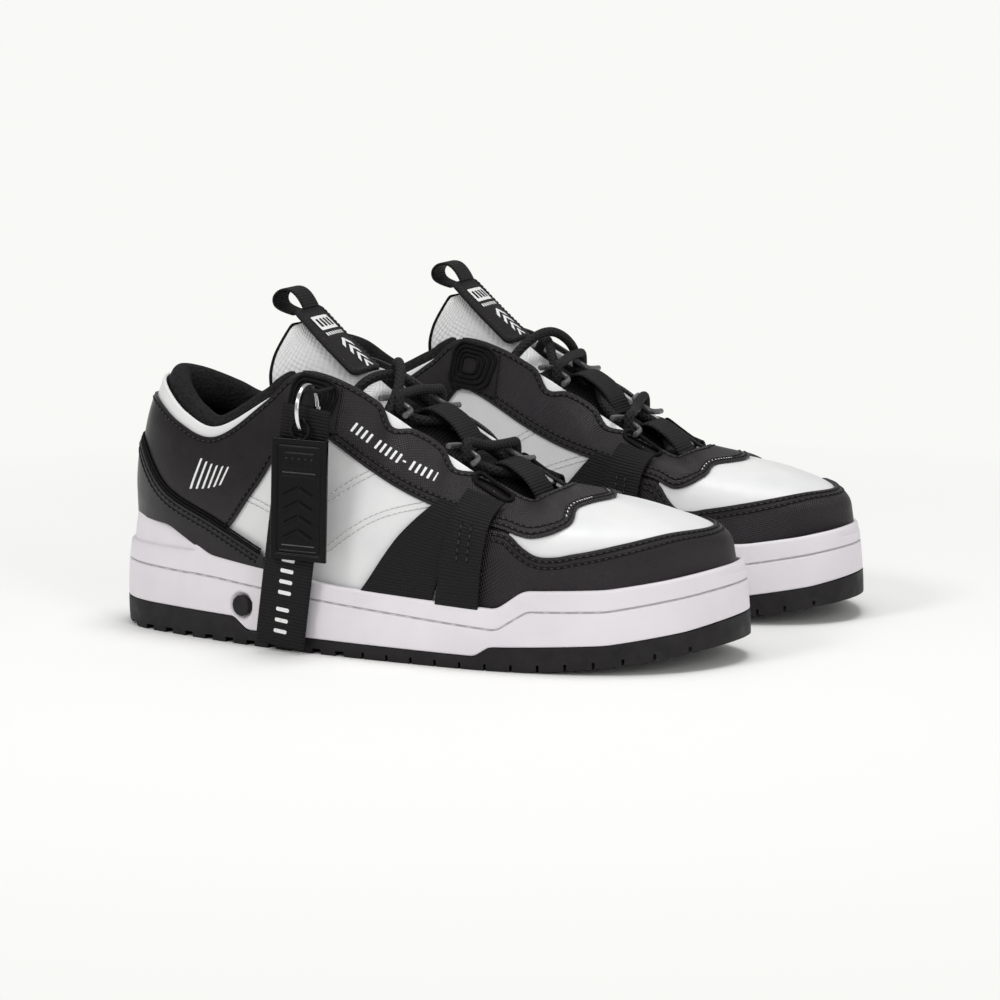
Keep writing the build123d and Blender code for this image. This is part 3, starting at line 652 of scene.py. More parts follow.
def make_materials():
    m = Look("white_leather", grey(0.80), 0.42)
    m.height(m.noise(9, 4), 0.35, 0.35)
    m.height(m.cells(0.9), 0.05, 0.5)
    m.rough(m.noise(14, 3), 0.38, 0.52)
    m.tint(m.noise(30, 3), (0.755, 0.76, 0.765), (0.83, 0.83, 0.83))

    m = Look("embossed_leather", grey(0.80), 0.45)
    x, y = m.uv_parts()
    m.height(m.noise(9, 4), 0.35, 0.35)
    m.height(m.math("MULTIPLY", m.wave(x, 3.4), m.wave(y, 2.2)), 0.16, 0.8)
    m.rough(m.noise(14, 3), 0.40, 0.54)
    m.tint(m.noise(30, 3), (0.77, 0.775, 0.78), (0.84, 0.84, 0.84))

    m = Look("black_leather", grey(0.007), 0.36, Specular_IOR_Level=0.33)
    m.height(m.noise(10, 4), 0.3, 0.35)
    m.height(m.cells(0.8), 0.06, 0.7)
    m.rough(m.noise(12, 4), 0.28, 0.42)
    m.tint(m.noise(5, 5), (0.005, 0.0034, 0.0046), (0.010, 0.007, 0.0094))

    m = Look("black_twill", grey(0.009), 0.5, Specular_IOR_Level=0.36)
    m.height(m.noise(12, 4), 0.3, 0.35)
    m.height(m.twill(1.15), 0.16, 1.0)
    m.rough(m.twill(1.15), 0.28, 0.5, -0.8, 0.8)
    m.tint(m.twill(1.15), (0.0025, 0.0016, 0.0023), (0.018, 0.0125, 0.0168), -0.8, 0.8)

    m = Look("black_webbing", grey(0.006), 0.6, Specular_IOR_Level=0.2)
    m.height(m.ribs(1.5, 1.3), 0.35, 1.0)
    m.tint(m.ribs(1.5, 1.3), (0.001, 0.001, 0.001), (0.010, 0.0085, 0.0095), 0.1, 0.9)

    m = Look("black_knit", grey(0.008), 0.8, Specular_IOR_Level=0.25)
    m.height(m.noise(8, 3), 0.3, 0.4)
    m.height(m.cells(1.5), 0.35, 0.9)
    m.tint(m.cells(1.5), (0.014, 0.012, 0.013), (0.003, 0.003, 0.003), 0.1, 0.8)

    m = Look("black_textile", grey(0.008), 0.68, Specular_IOR_Level=0.3)
    m.height(m.noise(10, 3), 0.25, 0.4)
    m.height(m.twill(0.9), 0.08, 0.8)
    m.tint(m.twill(0.9), (0.004, 0.003, 0.0038), (0.011, 0.0085, 0.0105), -0.8, 0.8)

    # This dark material is also used for the tubes under the stitches, where it paints the shade of the
    # stitch channels.
    m = Look("black_edge_and_shade", grey(0.003), 0.7, Specular_IOR_Level=0.15)
    m.height(m.noise(0.8, 3), 0.08, 0.6)
    m.tint(m.noise(2, 3), (0.0015, 0.0013, 0.0015), (0.005, 0.0042, 0.0048))

    m = Look("white_rubber", (0.80, 0.775, 0.815), 0.5)
    m.height(m.noise(1.0, 3), 0.03, 0.5)
    m.rough(m.noise(18, 4), 0.46, 0.6)
    m.tint(m.noise(35, 4), (0.72, 0.685, 0.725), (0.79, 0.755, 0.79))

    m = Look("black_rubber", grey(0.008), 0.55, Specular_IOR_Level=0.3)
    m.height(m.noise(0.9, 3), 0.06, 0.6)
    m.rough(m.noise(9, 4), 0.45, 0.68)
    m.tint(m.noise(6, 5), (0.0055, 0.0042, 0.0052), (0.011, 0.0088, 0.0105))

    # This grey is also used for painted shade, in the sole's groove and in the stitch channels on white
    # leather.
    m = Look("foam", grey(0.45), 0.8)
    m.height(m.cells(0.9), 0.15, 0.6)
    m.tint(m.noise(2, 4), grey(0.38), grey(0.52))

    m = Look("black_cord", grey(0.006), 0.7, Specular_IOR_Level=0.3)
    x, y = m.uv_parts()
    turn = m.math("MULTIPLY", x, 5)
    run = m.math("DIVIDE", y, 2.6)
    one = m.wave(m.math("ADD", turn, run), 1.0)
    two = m.wave(m.math("SUBTRACT", turn, run), 1.0)
    braid = m.math("MAXIMUM", one, two)
    m.height(braid, 0.25, 0.9)
    m.tint(braid, (0.002, 0.002, 0.002), (0.012, 0.010, 0.011), -0.2, 1.0)

    m = Look("thread_black", grey(0.012), 0.45)
    m.height(m.noise(0.35, 2), 0.08, 0.8)
    m.tint(m.noise(1.2, 2), (0.006, 0.005, 0.006), (0.016, 0.0135, 0.0155))

    m = Look("thread_white", grey(0.68), 0.6)
    m.height(m.noise(0.35, 2), 0.08, 0.8)
    m.tint(m.noise(1.2, 2), grey(0.60), grey(0.74))

    m = Look("white_ink", grey(0.78), 0.55)
    m.height(m.noise(0.6, 3), 0.03, 0.6)
    m.tint(m.noise(1.5, 5), grey(0.66), grey(0.82), 0.25, 0.5)

    m = Look("grey_plastic", (0.10, 0.10, 0.105), 0.28, Transmission_Weight=0.25, Coat_Weight=0.2)
    m.height(m.noise(2, 2), 0.05, 0.4)
    m.rough(m.noise(3, 3), 0.22, 0.38)
    m.tint(m.noise(6, 3), (0.07, 0.07, 0.075), (0.14, 0.14, 0.145))

    m = Look("steel", (0.72, 0.72, 0.74), 0.16, Metallic=1.0)
    m.height(m.noise(1.2, 3), 0.02, 0.5)
    m.rough(m.noise(2.5, 5), 0.10, 0.30)
    m.tint(m.noise(4, 3), (0.62, 0.62, 0.65), (0.80, 0.80, 0.81))

    m = Look("black_plastic", grey(0.002), 0.2, Specular_IOR_Level=0.16)
    m.height(m.noise(1.6, 3), 0.03, 0.5)
    m.rough(m.noise(8, 4), 0.14, 0.26)
    m.tint(m.noise(10, 3), (0.001, 0.0009, 0.001), (0.0022, 0.002, 0.0021))

    m = Look("floor", (0.95, 0.95, 0.94), 0.7, Specular_IOR_Level=0.1)
    m.height(m.noise(60, 2), 0.05, 0.1)
    # Away from the shoes the floor turns into an even backdrop.
    away = m.node("VectorMath", {0: m.coord.outputs["Object"]}, operation="LENGTH").outputs["Value"]
    glow = m.node("Emission", inputs={"Color": (0.947, 0.947, 0.923, 1), "Strength": 1.0})
    share = m.spread(away, 0.0, 1.0, 0.22, 0.62)
    mix = m.node("MixShader", {0: share, 1: m.bsdf.outputs[0], 2: glow.outputs[0]})
    m.tree.links.new(mix.outputs[0], m.tree.nodes["Material Output"].inputs["Surface"])


make_materials()


# ---------------------------------------------------------------- sole
def sole_ring(out, normal, profile):
    """Rings of points round the sole, from pairs of height and inset."""
    return np.array([np.column_stack([out + normal * (spline(WALL_INSET, z) + inset)[:, None], z])
                     for z, inset in profile])


def tier_at(top):
    """How far the wall is stepped into two tiers: fully where it is high, not at all where it is low."""
    return np.clip((top - 43.5) / 2, 0, 1)


def wall_profile(x, top, bottom):
    """Height and inset of the wall, from its lower edge over the groove and the step to its top."""
    groove = soft_bent(GROOVE, x, 2.0)
    tier = tier_at(top)
    line = np.minimum(40.0, top - 2.5)
    foot = ((0, 6.0), (0, 0.7), (0.25, 0.15), (0.9, 0))
    rows = [(bottom + up, 0 * x + inset) for up, inset in foot]
    out = -0.8 * tier
    for q in np.linspace(0, 1, 16)[1:-1]:
        rows.append((bottom + 0.9 + (groove - 1.2 - bottom - 0.9) * q, out * q))
    rows += [
        (groove - 0.9, out), (groove - 0.55, out + 0.06), (groove - 0.35, out + 0.6), (groove, out + 0.75),
        (groove + 0.35, out + 0.6), (groove + 0.55, out + 0.06), (groove + 0.9, out),
    ]
    high = np.maximum(line, groove + 2.0)
    rows += [(groove + 0.9 + (high - 0.5 - groove - 0.9) * 0.5, out), (high - 0.5, out)]
    rows += [(high - 0.1, out * 0.5), (high + 0.1, 0.9 * tier), (high + 0.6, 0.75 * tier)]
    cap = np.maximum(top, high + 1.6)
    step = 0.65 * tier
    rows += [(high + (cap - 1.3 - high) * 0.75, step), (cap - 1.1, step + 0.04), (cap - 0.5, step + 0.22),
             (cap - 0.12, step + 0.62), (cap, step + 1.2), (cap - 0.1, 0 * x + 2.35),
             (cap - 0.6, 0 * x + 2.5)]
    return rows


def make_midsole():
    out, normal = ring_spline(OUTLINE, 760)
    top = soft_bent(WALL_TOP, out[:, 0], 2.5)
    bottom = soft_bent(BLACK_TOP, out[:, 0], 1.6) + 0.1
    floor = bent(MIDSOLE_FLOOR, out[:, 0])
    rows = sole_ring(out, normal, wall_profile(out[:, 0], top, bottom) + [(floor, 0 * floor + 2.5)])
    # The seat of the heel plug, a round dimple in the outer side.
    d = np.hypot(rows[..., 0] - PLUG_X, rows[..., 2] - PLUG_Z)
    depth = np.clip(PLUG_SEAT - d, 0, 1) * PLUG_DEPTH * (rows[..., 1] < -30)
    rows += np.array([0.24, 1.0, 0]) * depth[..., None]
    uv = lengths(np.concatenate([rows, rows[:, :1]], 1))[:, :-1]
    pair("midsole_wall", loft(Heap(), rows, uv, True), "white_rubber", ["midsole"])
    # Thread lying in the groove.
    thread = Heap()
    groove = soft_bent(GROOVE, out[:, 0], 2.0)
    line = closed(sole_ring(out, normal, [(groove, 0.45 - 0.8 * tier_at(top))])[0])
    stitches(thread, line, None, 7.4, 6.2, 0.3)
    # A grey tube along the groove's bottom paints the groove's shade.
    pair("sole_groove_shade_line", tube(line, 0.26, 6, cap=False), "foam", slot="white_rubber")
    pair("sole_thread", thread, "thread_white", slot="white_rubber")


make_midsole()


def keep_cad(name, material, bevel=0.0):
    """Dresses a CAD node that is shown as it is."""
    for side in SIDES:
        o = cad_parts[f"{side}_{name}"]
        o.data.materials.clear()
        o.data.materials.append(MATS[material])
        if bevel:
            m = o.modifiers.new("edge", "BEVEL")
            m.width, m.segments, m.limit_method, m.angle_limit = bevel * 0.001, 2, "ANGLE", math.radians(40)


keep_cad("outsole", "black_rubber", 0.35)
keep_cad("heel_plug", "black_rubber", 0.0)
keep_cad("sockliner", "black_textile")
keep_cad("midsole_core", "foam")


# ---------------------------------------------------------------- upper
def panel(name, k0, k1, low, high, layer, material, rows=26, slot=None, cut=None):
    g = region(k0, k1, low, high, layer[1], 1.1, rows)
    heap = Heap()
    faces = quads(g.shape[0], g.shape[1])
    if cut:
        flat = g.reshape(-1, 3)
        faces = [f for f in faces if not cut(flat[list(f)].mean(0))]
    heap.add(g, faces, lengths(g))
    pair(name + "_shell", heap, material, [name], solid=layer[1] - layer[0], bevel=0.3,
         slot=slot)


def flat(value):
    return lambda k: np.full(np.shape(k), value)


LINING = (-3.4, -1.8)
BASE = (-1.5, 0.0)
OVERLAY = (0.2, 1.5)
SECOND = (1.7, 3.0)
THIRD = (3.2, 4.4)

SLOT_K, SLOT_T = find_on_upper(195, 75.4, 7, 9)
SLOT_TURN = math.radians(-8)


def in_slot(p):
    if p[0] < 180 or p[0] > 212:
        return False
    k = SLOT_K if p[1] < 0 else 24 - SLOT_K
    turn = SLOT_TURN if p[1] < 0 else -SLOT_TURN
    x, y = local_on_upper(k, SLOT_T, p[None], turn)[0]
    return math.hypot(max(0, abs(x) - 7.0), y) < 2.7


panel("lining", 0.04, 23.96, flat(0.02), both(LINING_TOP), LINING, "black_knit", slot="black_textile")
panel("vamp", 7.93, 16.07, flat(0.02), flat(0.97), BASE, "white_leather", rows=40)
panel("quarter_lateral", 3.2, 7.86, flat(0.02), both(QUARTER_TOP), BASE, "white_leather", rows=40)
panel("quarter_medial", 16.14, 20.8, flat(0.02), both(QUARTER_TOP), BASE, "white_leather", rows=40)
panel("heel_counter", 20.9, 27.1, lambda k: above_wall(k, 0.0, 1.5), flat(0.68), BASE, "white_leather",
      slot="board")
panel("collar_patch", 19.35, 28.65, flat(0.825), flat(0.985), BASE, "white_leather", rows=14)
panel("toe_cap", 7.55, 16.45, lambda k: above_wall(k, 1.5), both(TOE_CAP_TOP), OVERLAY, "black_twill")
panel("heel_panel", 19.075, 28.925, both(HEEL_LOW), both(HEEL_HIGH), OVERLAY, "black_leather", rows=34)
panel("backstay", 19.75, 28.25, lambda k: above_wall(k, 3.0), backstay_top, SECOND,
      "black_leather")
panel("eyestay", 4.93, 19.07, both(EYESTAY_LOW), both(EYESTAY_TOP), OVERLAY, "black_twill", rows=40,
      cut=in_slot)


def strap_grid(k_low, k_high, width_low, width_high, top, lift, medial):
    """A strap from the sole's wall up to the share top; its places and widths are in stations."""
    a = np.linspace(0, 1, 30)[:, None]
    b = np.linspace(0, 1, 60)[None, :]
    edge = (k_low - width_low / 2 + width_low * a)[:, 0]
    low = above_wall(24 - edge if medial else edge, lift)[:, None]
    k = k_low + (k_high - k_low) * b + (width_low + (width_high - width_low) * b) * (a - 0.5)
    k = 24 - k if medial else k
    return upper(k, low + (top - low) * b, lift)


STRAPS = {"diagonal": (SECOND, (6.6, 7.3, 1.05, 0.42, 0.755)),
          "front": (THIRD, (7.49, 7.62, 0.58, 0.52, 0.85))}
for word, (layer, values) in STRAPS.items():
    for where in ("lateral", "medial"):
        g = strap_grid(*values, layer[1], where == "medial")
        heap = Heap()
        faces = quads(g.shape[0], g.shape[1])
        if where == "medial":
            faces = turned(faces)
        heap.add(g, faces, lengths(g))
        pair(f"strap_{where}_{word}_weave", heap, "black_webbing", [f"strap_{where}_{word}"],
             solid=layer[1] - layer[0], bevel=0.3)


def make_ankle_patches():
    heap = Heap()
    for k0, k1 in ((4.72, 5.52), (18.48, 19.28)):
        grid_heap(region(k0, k1, flat(0.77), flat(0.97), SECOND[1], rows=22, count=26), heap)
    pair("ankle_patches_pads", heap, "black_textile", ["ankle_patches"], solid=1.3, bevel=0.5)
    trim = Heap()
    for k in (5.1, 18.9):
        put = on_upper(k, 0.872, SECOND[1] + 0.1)
        for size in (8.0, 12.2, 16.4, 20.6):
            line = put(closed(bar(size, size, size * 0.28, 7)))
            tube(spaced(line, 1.0), 0.9, 8, trim, cap=False)
    pair("ankle_patch_cords", trim, "black_edge_and_shade", slot="black_textile")


make_ankle_patches()


def weld_ends(o):
    """Joins the points where a pad's rings close and shrink to its ends."""
    m = o.modifiers.new("weld", "WELD")
    m.merge_threshold = 0.00002


def make_collar():
    """The rolled pad round the mouth, thickest at the heel and rounded off at its two ends."""
    rows = []
    for a in np.linspace(-1, 1, 150):
        k = -4.7 * a
        edge = upper_point(k, 1.0)
        ahead = upper_point(k - 0.05, 1.0) - upper_point(k + 0.05, 1.0)
        ahead /= np.linalg.norm(ahead)
        side = np.array([ahead[1], -ahead[0], 0.0])
        side /= np.linalg.norm(side)
        up = np.cross(side, ahead)
        up = up if up[2] > 0 else -up
        share = 1 - a * a
        end = min(1.0, (1 - abs(a)) * 12) ** 0.5
        thick, tall = 2.4 + 3.0 * share, 4.5 + 4.5 * share
        centre = edge + side * (2.0 + thick) + (0, 0, 3.5 - tall)
        thick, tall = thick * end, tall * (0.35 + 0.65 * end)
        ang = np.linspace(0, 2 * math.pi, 36, endpoint=False)
        c, s = np.cos(ang), np.sin(ang)
        c, s = np.sign(c) * np.abs(c) ** 0.9, np.sign(s) * np.abs(s) ** 0.9
        rows.append(centre + thick * c[:, None] * side + tall * s[:, None] * up)
    rows = np.array(rows)
    heap = grid_heap(np.concatenate([rows, rows[:, :1]], 1))
    made = pair("collar_pad_roll", heap, "black_knit", ["collar_pad"], slot="black_textile")
    for o in made:
        weld_ends(o)


make_collar()


# ---------------------------------------------------------------- tongue
# Two points on the tongue's middle line, where it is sewn on and where it flexes.
FLEX_FROM, FLEX_TO = (136, 0, 113.5), (122.5, 0, 124)


def bend_at_flex(o, side):
    o.parent = None
    a, b = place([FLEX_FROM, FLEX_TO], side)
    tuple(a)
    tuple(b)
    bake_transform(o)


def make_tongue():
    """The padded tongue, one closed form from its sewn end to its rounded top."""
    ang = np.linspace(0, 2 * math.pi, 57)
    c, s = np.cos(ang), np.sin(ang)
    rows = []
    for q in np.linspace(0, 1, 120):
        u = 0.15 + 7.05 * q
        end = min(1.0, (1 - abs(2 * q - 1)) * 16) ** 0.5
        half = (1 - 0.25 * max(0.0, (u - 6.4) / 0.8) ** 2) * (0.9 + 0.1 * end)
        thick = (2.5 + 0.5 * min(1.0, max(0.0, (u - 4.5)))) * max(end, 0.08)
        v = half * np.sign(c) * np.abs(c) ** 0.75
        lift = -2.6 - 0.4 * min(1.0, max(0.0, u - 4.5)) + thick * np.sign(s) * np.abs(s) ** 0.75
        rows.append(tongue(u, v, lift))
    heap = grid_heap(np.array(rows))
    for side in SIDES:
        o = object_from(f"{side}_tongue_pad", heap, "embossed_leather", side, f"{side}_shoe",
                        [f"{side}_tongue_base", f"{side}_tongue_top"], slot="white_leather")
        weld_ends(o)
        bend_at_flex(o, side)


make_tongue()


def make_tongue_piping():
    """A cord up one side of the tongue, over its top and down the other."""
    us = np.linspace(2.2, 7.16, 130)
    half = 1 - 0.25 * np.maximum(0.0, (us - 6.4) / 0.8) ** 2
    v = np.linspace(half[-1], -half[-1], 40)[1:-1]
    u = np.concatenate([us, np.full(38, 7.21), us[::-1]])
    v = np.concatenate([half + 0.01, v, -half[::-1] - 0.01])
    line = spaced(tongue(u, v, -2.8), 1.0)
    for side in SIDES:
        o = object_from(f"{side}_tongue_piping", tube(line, 0.75, 8), "black_edge_and_shade", side, f"{side}_shoe",
                        slot="black_textile")
        bend_at_flex(o, side)


make_tongue_piping()


LABEL_FROM, LABEL_TO, LABEL_FLAT = 5.36, 7.97, 0.2


def label_map(lift):
    """A map from (across, along) millimetres on the label, from its lower end."""
    us = np.linspace(LABEL_FROM, LABEL_TO, 80)
    mid = tongue_point(us, 0 * us)
    s = run_of(mid)

    def put(xy):
        xy = np.asarray(xy, float)
        u = np.interp(xy[..., 1], s, us)
        return tongue(u, half_share(u, xy[..., 0]), lift, LABEL_FLAT)

    return put, s[-1]


def make_label():
    """The label is a stiff padded patch with a stepped hem round it."""
    length = label_map(0.0)[1]
    half = np.array((13.5, length / 2))
    ring = spaced(closed(bar(27, length, 3.0, 6)), 0.9)[:-1]
    hem = [(0.0, 0.5), (0.0, 1.6), (0.35, 2.15), (0.9, 2.35), (2.2, 2.4), (2.6, 2.05), (3.0, 1.95)]
    face = np.linspace(1, 0.02, 14)[1:]
    back = (0.02, 0.5, 0.97)
    # The back from its middle out, the hem, then the face back in to the middle.
    rows = [(q, 0.5) for q in back] + [(1 - inset / half, lift) for inset, lift in hem]
    rows += [((1 - 3.0 / half) * q, 1.95 + 0.25 * (1 - q)) for q in face]
    points = [label_map(lift)[0]((0, length / 2) + ring * scale) for scale, lift in rows]
    uv = [ring * q for q in (*back, *[1] * len(hem), *face)]
    pair("tongue_label_patch", loft(Heap(), np.array(points), np.array(uv), True), "black_textile",
         ["tongue_label"], body="tongue_flap")


make_label()


def make_label_trim():
    put, length = label_map(2.5)
    seam = Heap()
    ring = bar(24.2, length - 2.8, 2.2, 6) + (0, length / 2)
    line = put(spaced(closed(ring), 1.0))
    stitches(seam, line, None, 2.2, 1.6, 0.24)
    pair("label_seam", seam, "thread_black", body="tongue_flap", slot="black_textile")
    ink, marks = Heap(), Heap()
    put, over = label_map(2.28)[0], label_map(2.33)[0]
    top = length - 10.0
    add_shape(ink, put, bar(16.0, 8.6, 0.4) + (0, top - 1.0))
    for i in range(4):
        add_shape(marks, over, bar(2.0, 5.0, 0.3) + (-5.1 + 3.4 * i, top - 1.0))
    for i in range(9):
        add_shape(ink, put, bar(1.1, 1.9, 0.2) + (-7.2 + 1.8 * i, top - 8.0))
    for i in range(4):
        y, w = top - 11.5 - 4.8 * i, 4.6 - 0.5 * i
        for side in (-1, 1):
            add_shape(ink, put, [(side * w, y - 4.0), (0, y), (0, y - 2.4), (side * w, y - 6.4)])
    pair("label_print", ink, "white_ink", body="tongue_flap", slot="white_leather")
    pair("label_marks", marks, "black_edge_and_shade", body="tongue_flap", slot="black_textile")


make_label_trim()


def ribbon(heap, line, width, thick):
    """A flat band that follows a line of (x, z) points in the shoe's middle plane."""
    line = np.asarray(line, float)
    tan = np.gradient(line, axis=0)
    tan /= np.linalg.norm(tan, axis=1, keepdims=True)
    nrm = np.stack([-tan[:, 1], tan[:, 0]], 1)
    s = run_of(line)
    prof = bar(width, thick, thick * 0.45, 4)
    # More points across the broad faces, so the band can curve and carry its weave.
    fine = spaced(closed(prof), 1.0)[:-1]
    rows, uvs = [], []
    for i in range(len(line)):
        c = line[i] + nrm[i] * fine[:, 1:2]
        rows.append(np.column_stack([c[:, 0], fine[:, 0], c[:, 1]]))
        uvs.append(np.column_stack([fine[:, 0], np.full(len(fine), s[i])]))
    return loft(heap, np.array(rows), np.array(uvs))


def make_pull_loop():
    line = curve_through([(93.0, 150.6), (90.6, 155.2), (86.0, 159.0), (80.4, 158.6), (77.0, 154.4),
                          (79.2, 149.4), (87.6, 147.6)], 10)
    pair("pull_loop_web", ribbon(Heap(), spaced(line, 0.7), 16, 1.2), "black_webbing", ["pull_loop"],
         body="pull_tab")


make_pull_loop()


def mid_z(x):
    """The height of the tongue's middle line at x."""
    return float(spline(sorted(TONGUE_MID), x))


def make_webbing():
    us = np.linspace(0.85, 4.0, 90)[:, None]
    across = half_share(us, 14.0) * np.linspace(-1, 1, 30)
    top, low = tongue(us, across, 1.1), tongue(us, across, 0.35)
    uv = lengths(top)[..., ::-1]
    heap = loft(Heap(), np.concatenate([top, low[:, ::-1]], 1), np.concatenate([uv, uv[:, ::-1]], 1))
    # Two arches stand off the band.
    for x0, x1 in ((150, 175), (186, 210.5)):
        pts = [(x0 - 1.0, mid_z(x0 - 1.0) + 1.6)]
        for q in (0.02, 0.12, 0.3, 0.5, 0.7, 0.88, 0.98):
            x = x0 + (x1 - x0) * q
            lift = 7.9 * (1 - abs(2 * q - 1) ** 3.2)
            pts.append((x, mid_z(x) + 1.0 + lift))
        pts.append((x1 + 1.0, mid_z(x1 + 1.0) + 1.6))
        ribbon(heap, spaced(curve_through(pts, 8), 0.8), 22, 1.4)
    pair("centre_webbing_band", heap, "black_webbing", ["centre_webbing"])


make_webbing()

LOOPS = [(146, -16, 110.5), (149, 16, 109.0), (179, -16.5, 90.8), (186, 16.5, 86.6)]


def make_lacing():
    heap = Heap()
    for x, y, z in LOOPS:
        end = 27.0 * (-1 if y < 0 else 1)
        mid = (y + end) / 2
        pts = [(x - 6, end, z + 3.6), (x - 5.6, mid, z + 3.3), (x - 4.2, y, z + 2.6), (x, y - 0.1, z),
               (x + 4.2, y, z - 2.6), (x + 5.6, mid, z - 3.3), (x + 6, end, z - 3.6)]
        tube(spaced(curve_through(pts, 8), 0.7), 1.4, 14, heap)
    pair("lace_loops_bars", heap, "grey_plastic", ["lace_loops"])
    heap = Heap()
    tube(spaced(curve_through(LACE, 10), 0.8), 2.3, 20, heap)
    tube(spaced(curve_through(LACE_OVER, 10), 0.8), 2.3, 20, heap)
    pair("lace_cord", heap, "black_cord", ["lace"])


def turn_round(x, y, z, over, down):
    """The cord's points round the outside of a loop, over it first where down is true."""
    out = -1 if y < 0 else 1
    turn = [(x, y - out * 0.6, z + over), (x, y + out * 4.6, z + over), (x, y + out * 4.6, z - over),
            (x, y - out * 0.6, z - over)]
    return turn if down else turn[::-1]


LACE = [(119, -21.0, 106), (124, -18.5, 117), (131, -10, 122.5), (137, 1, 121.5), (143, 9.5, 112)]
LACE += turn_round(149, 16, 109.0, 4.6, False)
LACE += [(147, 0, 115.4)]
LACE += turn_round(146, -16, 110.5, 4.6, True)
LACE += [(153, -13.6, 103), (160, -5, 102.3), (165, 5, 99.2), (171, 14, 93)]
LACE += turn_round(186, 16.5, 86.6, 4.6, False)
LACE += [(181, 0, 91.0)]
LACE += turn_round(179, -16.5, 90.8, 4.6, True)
LACE += [(189, -14.2, 82.4), (194, -5, 80.6), (200, 4, 76.4), (205, 13, 72.6)]
# The lace's other end crosses over the first, under the label's lower end.
LACE_OVER = [(119, 22, 105), (124, 19, 114.5), (131, 10, 124.5), (137, 0, 128), (142, -9, 123.5),
             (144, -18, 115), (142, -24, 107)]
make_lacing()


# ---------------------------------------------------------------- seams, edges and print
def make_seams():
    black, white, shade_line, pale_shade_line = Heap(), Heap(), Heap(), Heap()
    # First and last station, points, edge, layer, and how far each row lies above the edge.
    rows = [
        (5.0, 19.0, 460, both(EYESTAY_LOW), OVERLAY, (1.9, 4.4)),
        (5.0, 19.0, 460, both(EYESTAY_TOP), OVERLAY, (-2.2,)),
        (7.9, 16.1, 300, both(TOE_CAP_TOP), OVERLAY, (-1.8, -4.4)),
        (19.2, 28.8, 330, both(HEEL_HIGH), OVERLAY, (-2.0,)),
        (3.12, 4.84, 90, both(HEEL_LOW), OVERLAY, (2.0,)),
        (19.16, 20.88, 90, both(HEEL_LOW), OVERLAY, (2.0,)),
        (19.9, 28.1, 300, backstay_top, SECOND, (-1.8, -4.2)),
    ]
    for low, high, count, edge, layer, insets in rows:
        k = np.linspace(low, high, count)
        for inset in insets:
            seam_on_upper(black, shade_line, k, edge(k), layer[1] + 0.1, inset)
    # The front strap is sewn down along its middle.
    for k in (7.485, 7.625, 16.375, 16.515):
        line = np.full(60, k), np.linspace(0.43, 0.66, 60)
        stitches(black, upper(*line, THIRD[1] + 0.1), upper_normal(*line), 3.0, 2.2, 0.42)
        # A dark tube under the stitches paints the shade of their channel.
        tube(spaced(upper(*line, THIRD[1] - 0.15), 1.2), 0.5, 6, shade_line)
    pair("seams_black", black, "thread_black", slot="black_leather")
    # The tubes under the stitches are dark to paint the shade of the stitch channels.
    pair("seam_shade_lines", shade_line, "black_edge_and_shade", slot="black_leather")
    # Double rows on the quarter, each from one place to another seen from the side.
    rows = [((123.3, 70.6), (152.5, 86.5)), ((123.5, 47.8), (178.0, 71.8)), ((78.5, 66.3), (101.0, 57.0)),
            ((101.0, 57.0), (123.3, 70.6)), ((101.0, 38.0), (123.5, 47.8))]
    for start, end in rows:
        k0, t0 = find_on_upper(*start, 3.2, 8.6)
        k1, t1 = find_on_upper(*end, 3.2, 8.6)
        k, t = np.linspace(k0, k1, 80), np.linspace(t0, t1, 80)
        for inset in (-1.3, 1.3):
            for stations in (k, 24 - k):
                seam_on_upper(white, pale_shade_line, stations, t, 0.1, inset, (2.7, 1.6, 0.38), 0.24)
    # Grey tubes under the white stitches paint the shade of their channels.
    pair("seam_pale_shade_lines", pale_shade_line, "foam", slot="white_leather")
    pair("seams_white", white, "thread_white", slot="white_leather")


make_seams()


def make_piping():
    heap = Heap()
    # Two cords along the backstay's top.
    k = np.linspace(19.9, 28.1, 260)
    top = backstay_top(k)
    for d, r in ((0.9, 0.75), (2.4, 0.45)):
        kk, tt = move_in(k, top, d)
        tube(upper(kk, tt, OVERLAY[1] + 0.6), r, 8, heap)
    pair("heel_piping", heap, "black_edge_and_shade", slot="black_leather")
    rim = Heap()
    for where in (SLOT_K, 24 - SLOT_K):
        put = on_upper(where, SLOT_T, OVERLAY[1] + 0.3, SLOT_TURN if where < 12 else -SLOT_TURN)
        ring = spaced(closed(bar(20.4, 6.2, 3.0, 9)), 1.0)
        tube(spaced(put(ring), 0.8), 1.0, 9, rim, cap=False)
    pair("slot_rims", rim, "black_edge_and_shade", slot="black_plastic")
    # A black patch under each slot stands for the shoe's black underlay and also paints the shade inside the
    # hole.
    under = Heap()
    for where in (SLOT_K, 24 - SLOT_K):
        put = on_upper(where, SLOT_T, 0.25, SLOT_TURN if where < 12 else -SLOT_TURN)
        ring = spaced(closed(bar(23.5, 10.0, 4.0, 9)), 1.0)[:-1]
        add_shape(under, put, ring, 5)
    for low, high in ((7.45, 8.12), (15.88, 16.55)):
        grid_heap(region(low, high, flat(0.5), flat(0.76), 0.12, rows=14), under)
    pair("slot_underlay_and_shade", under, "black_textile")


make_piping()


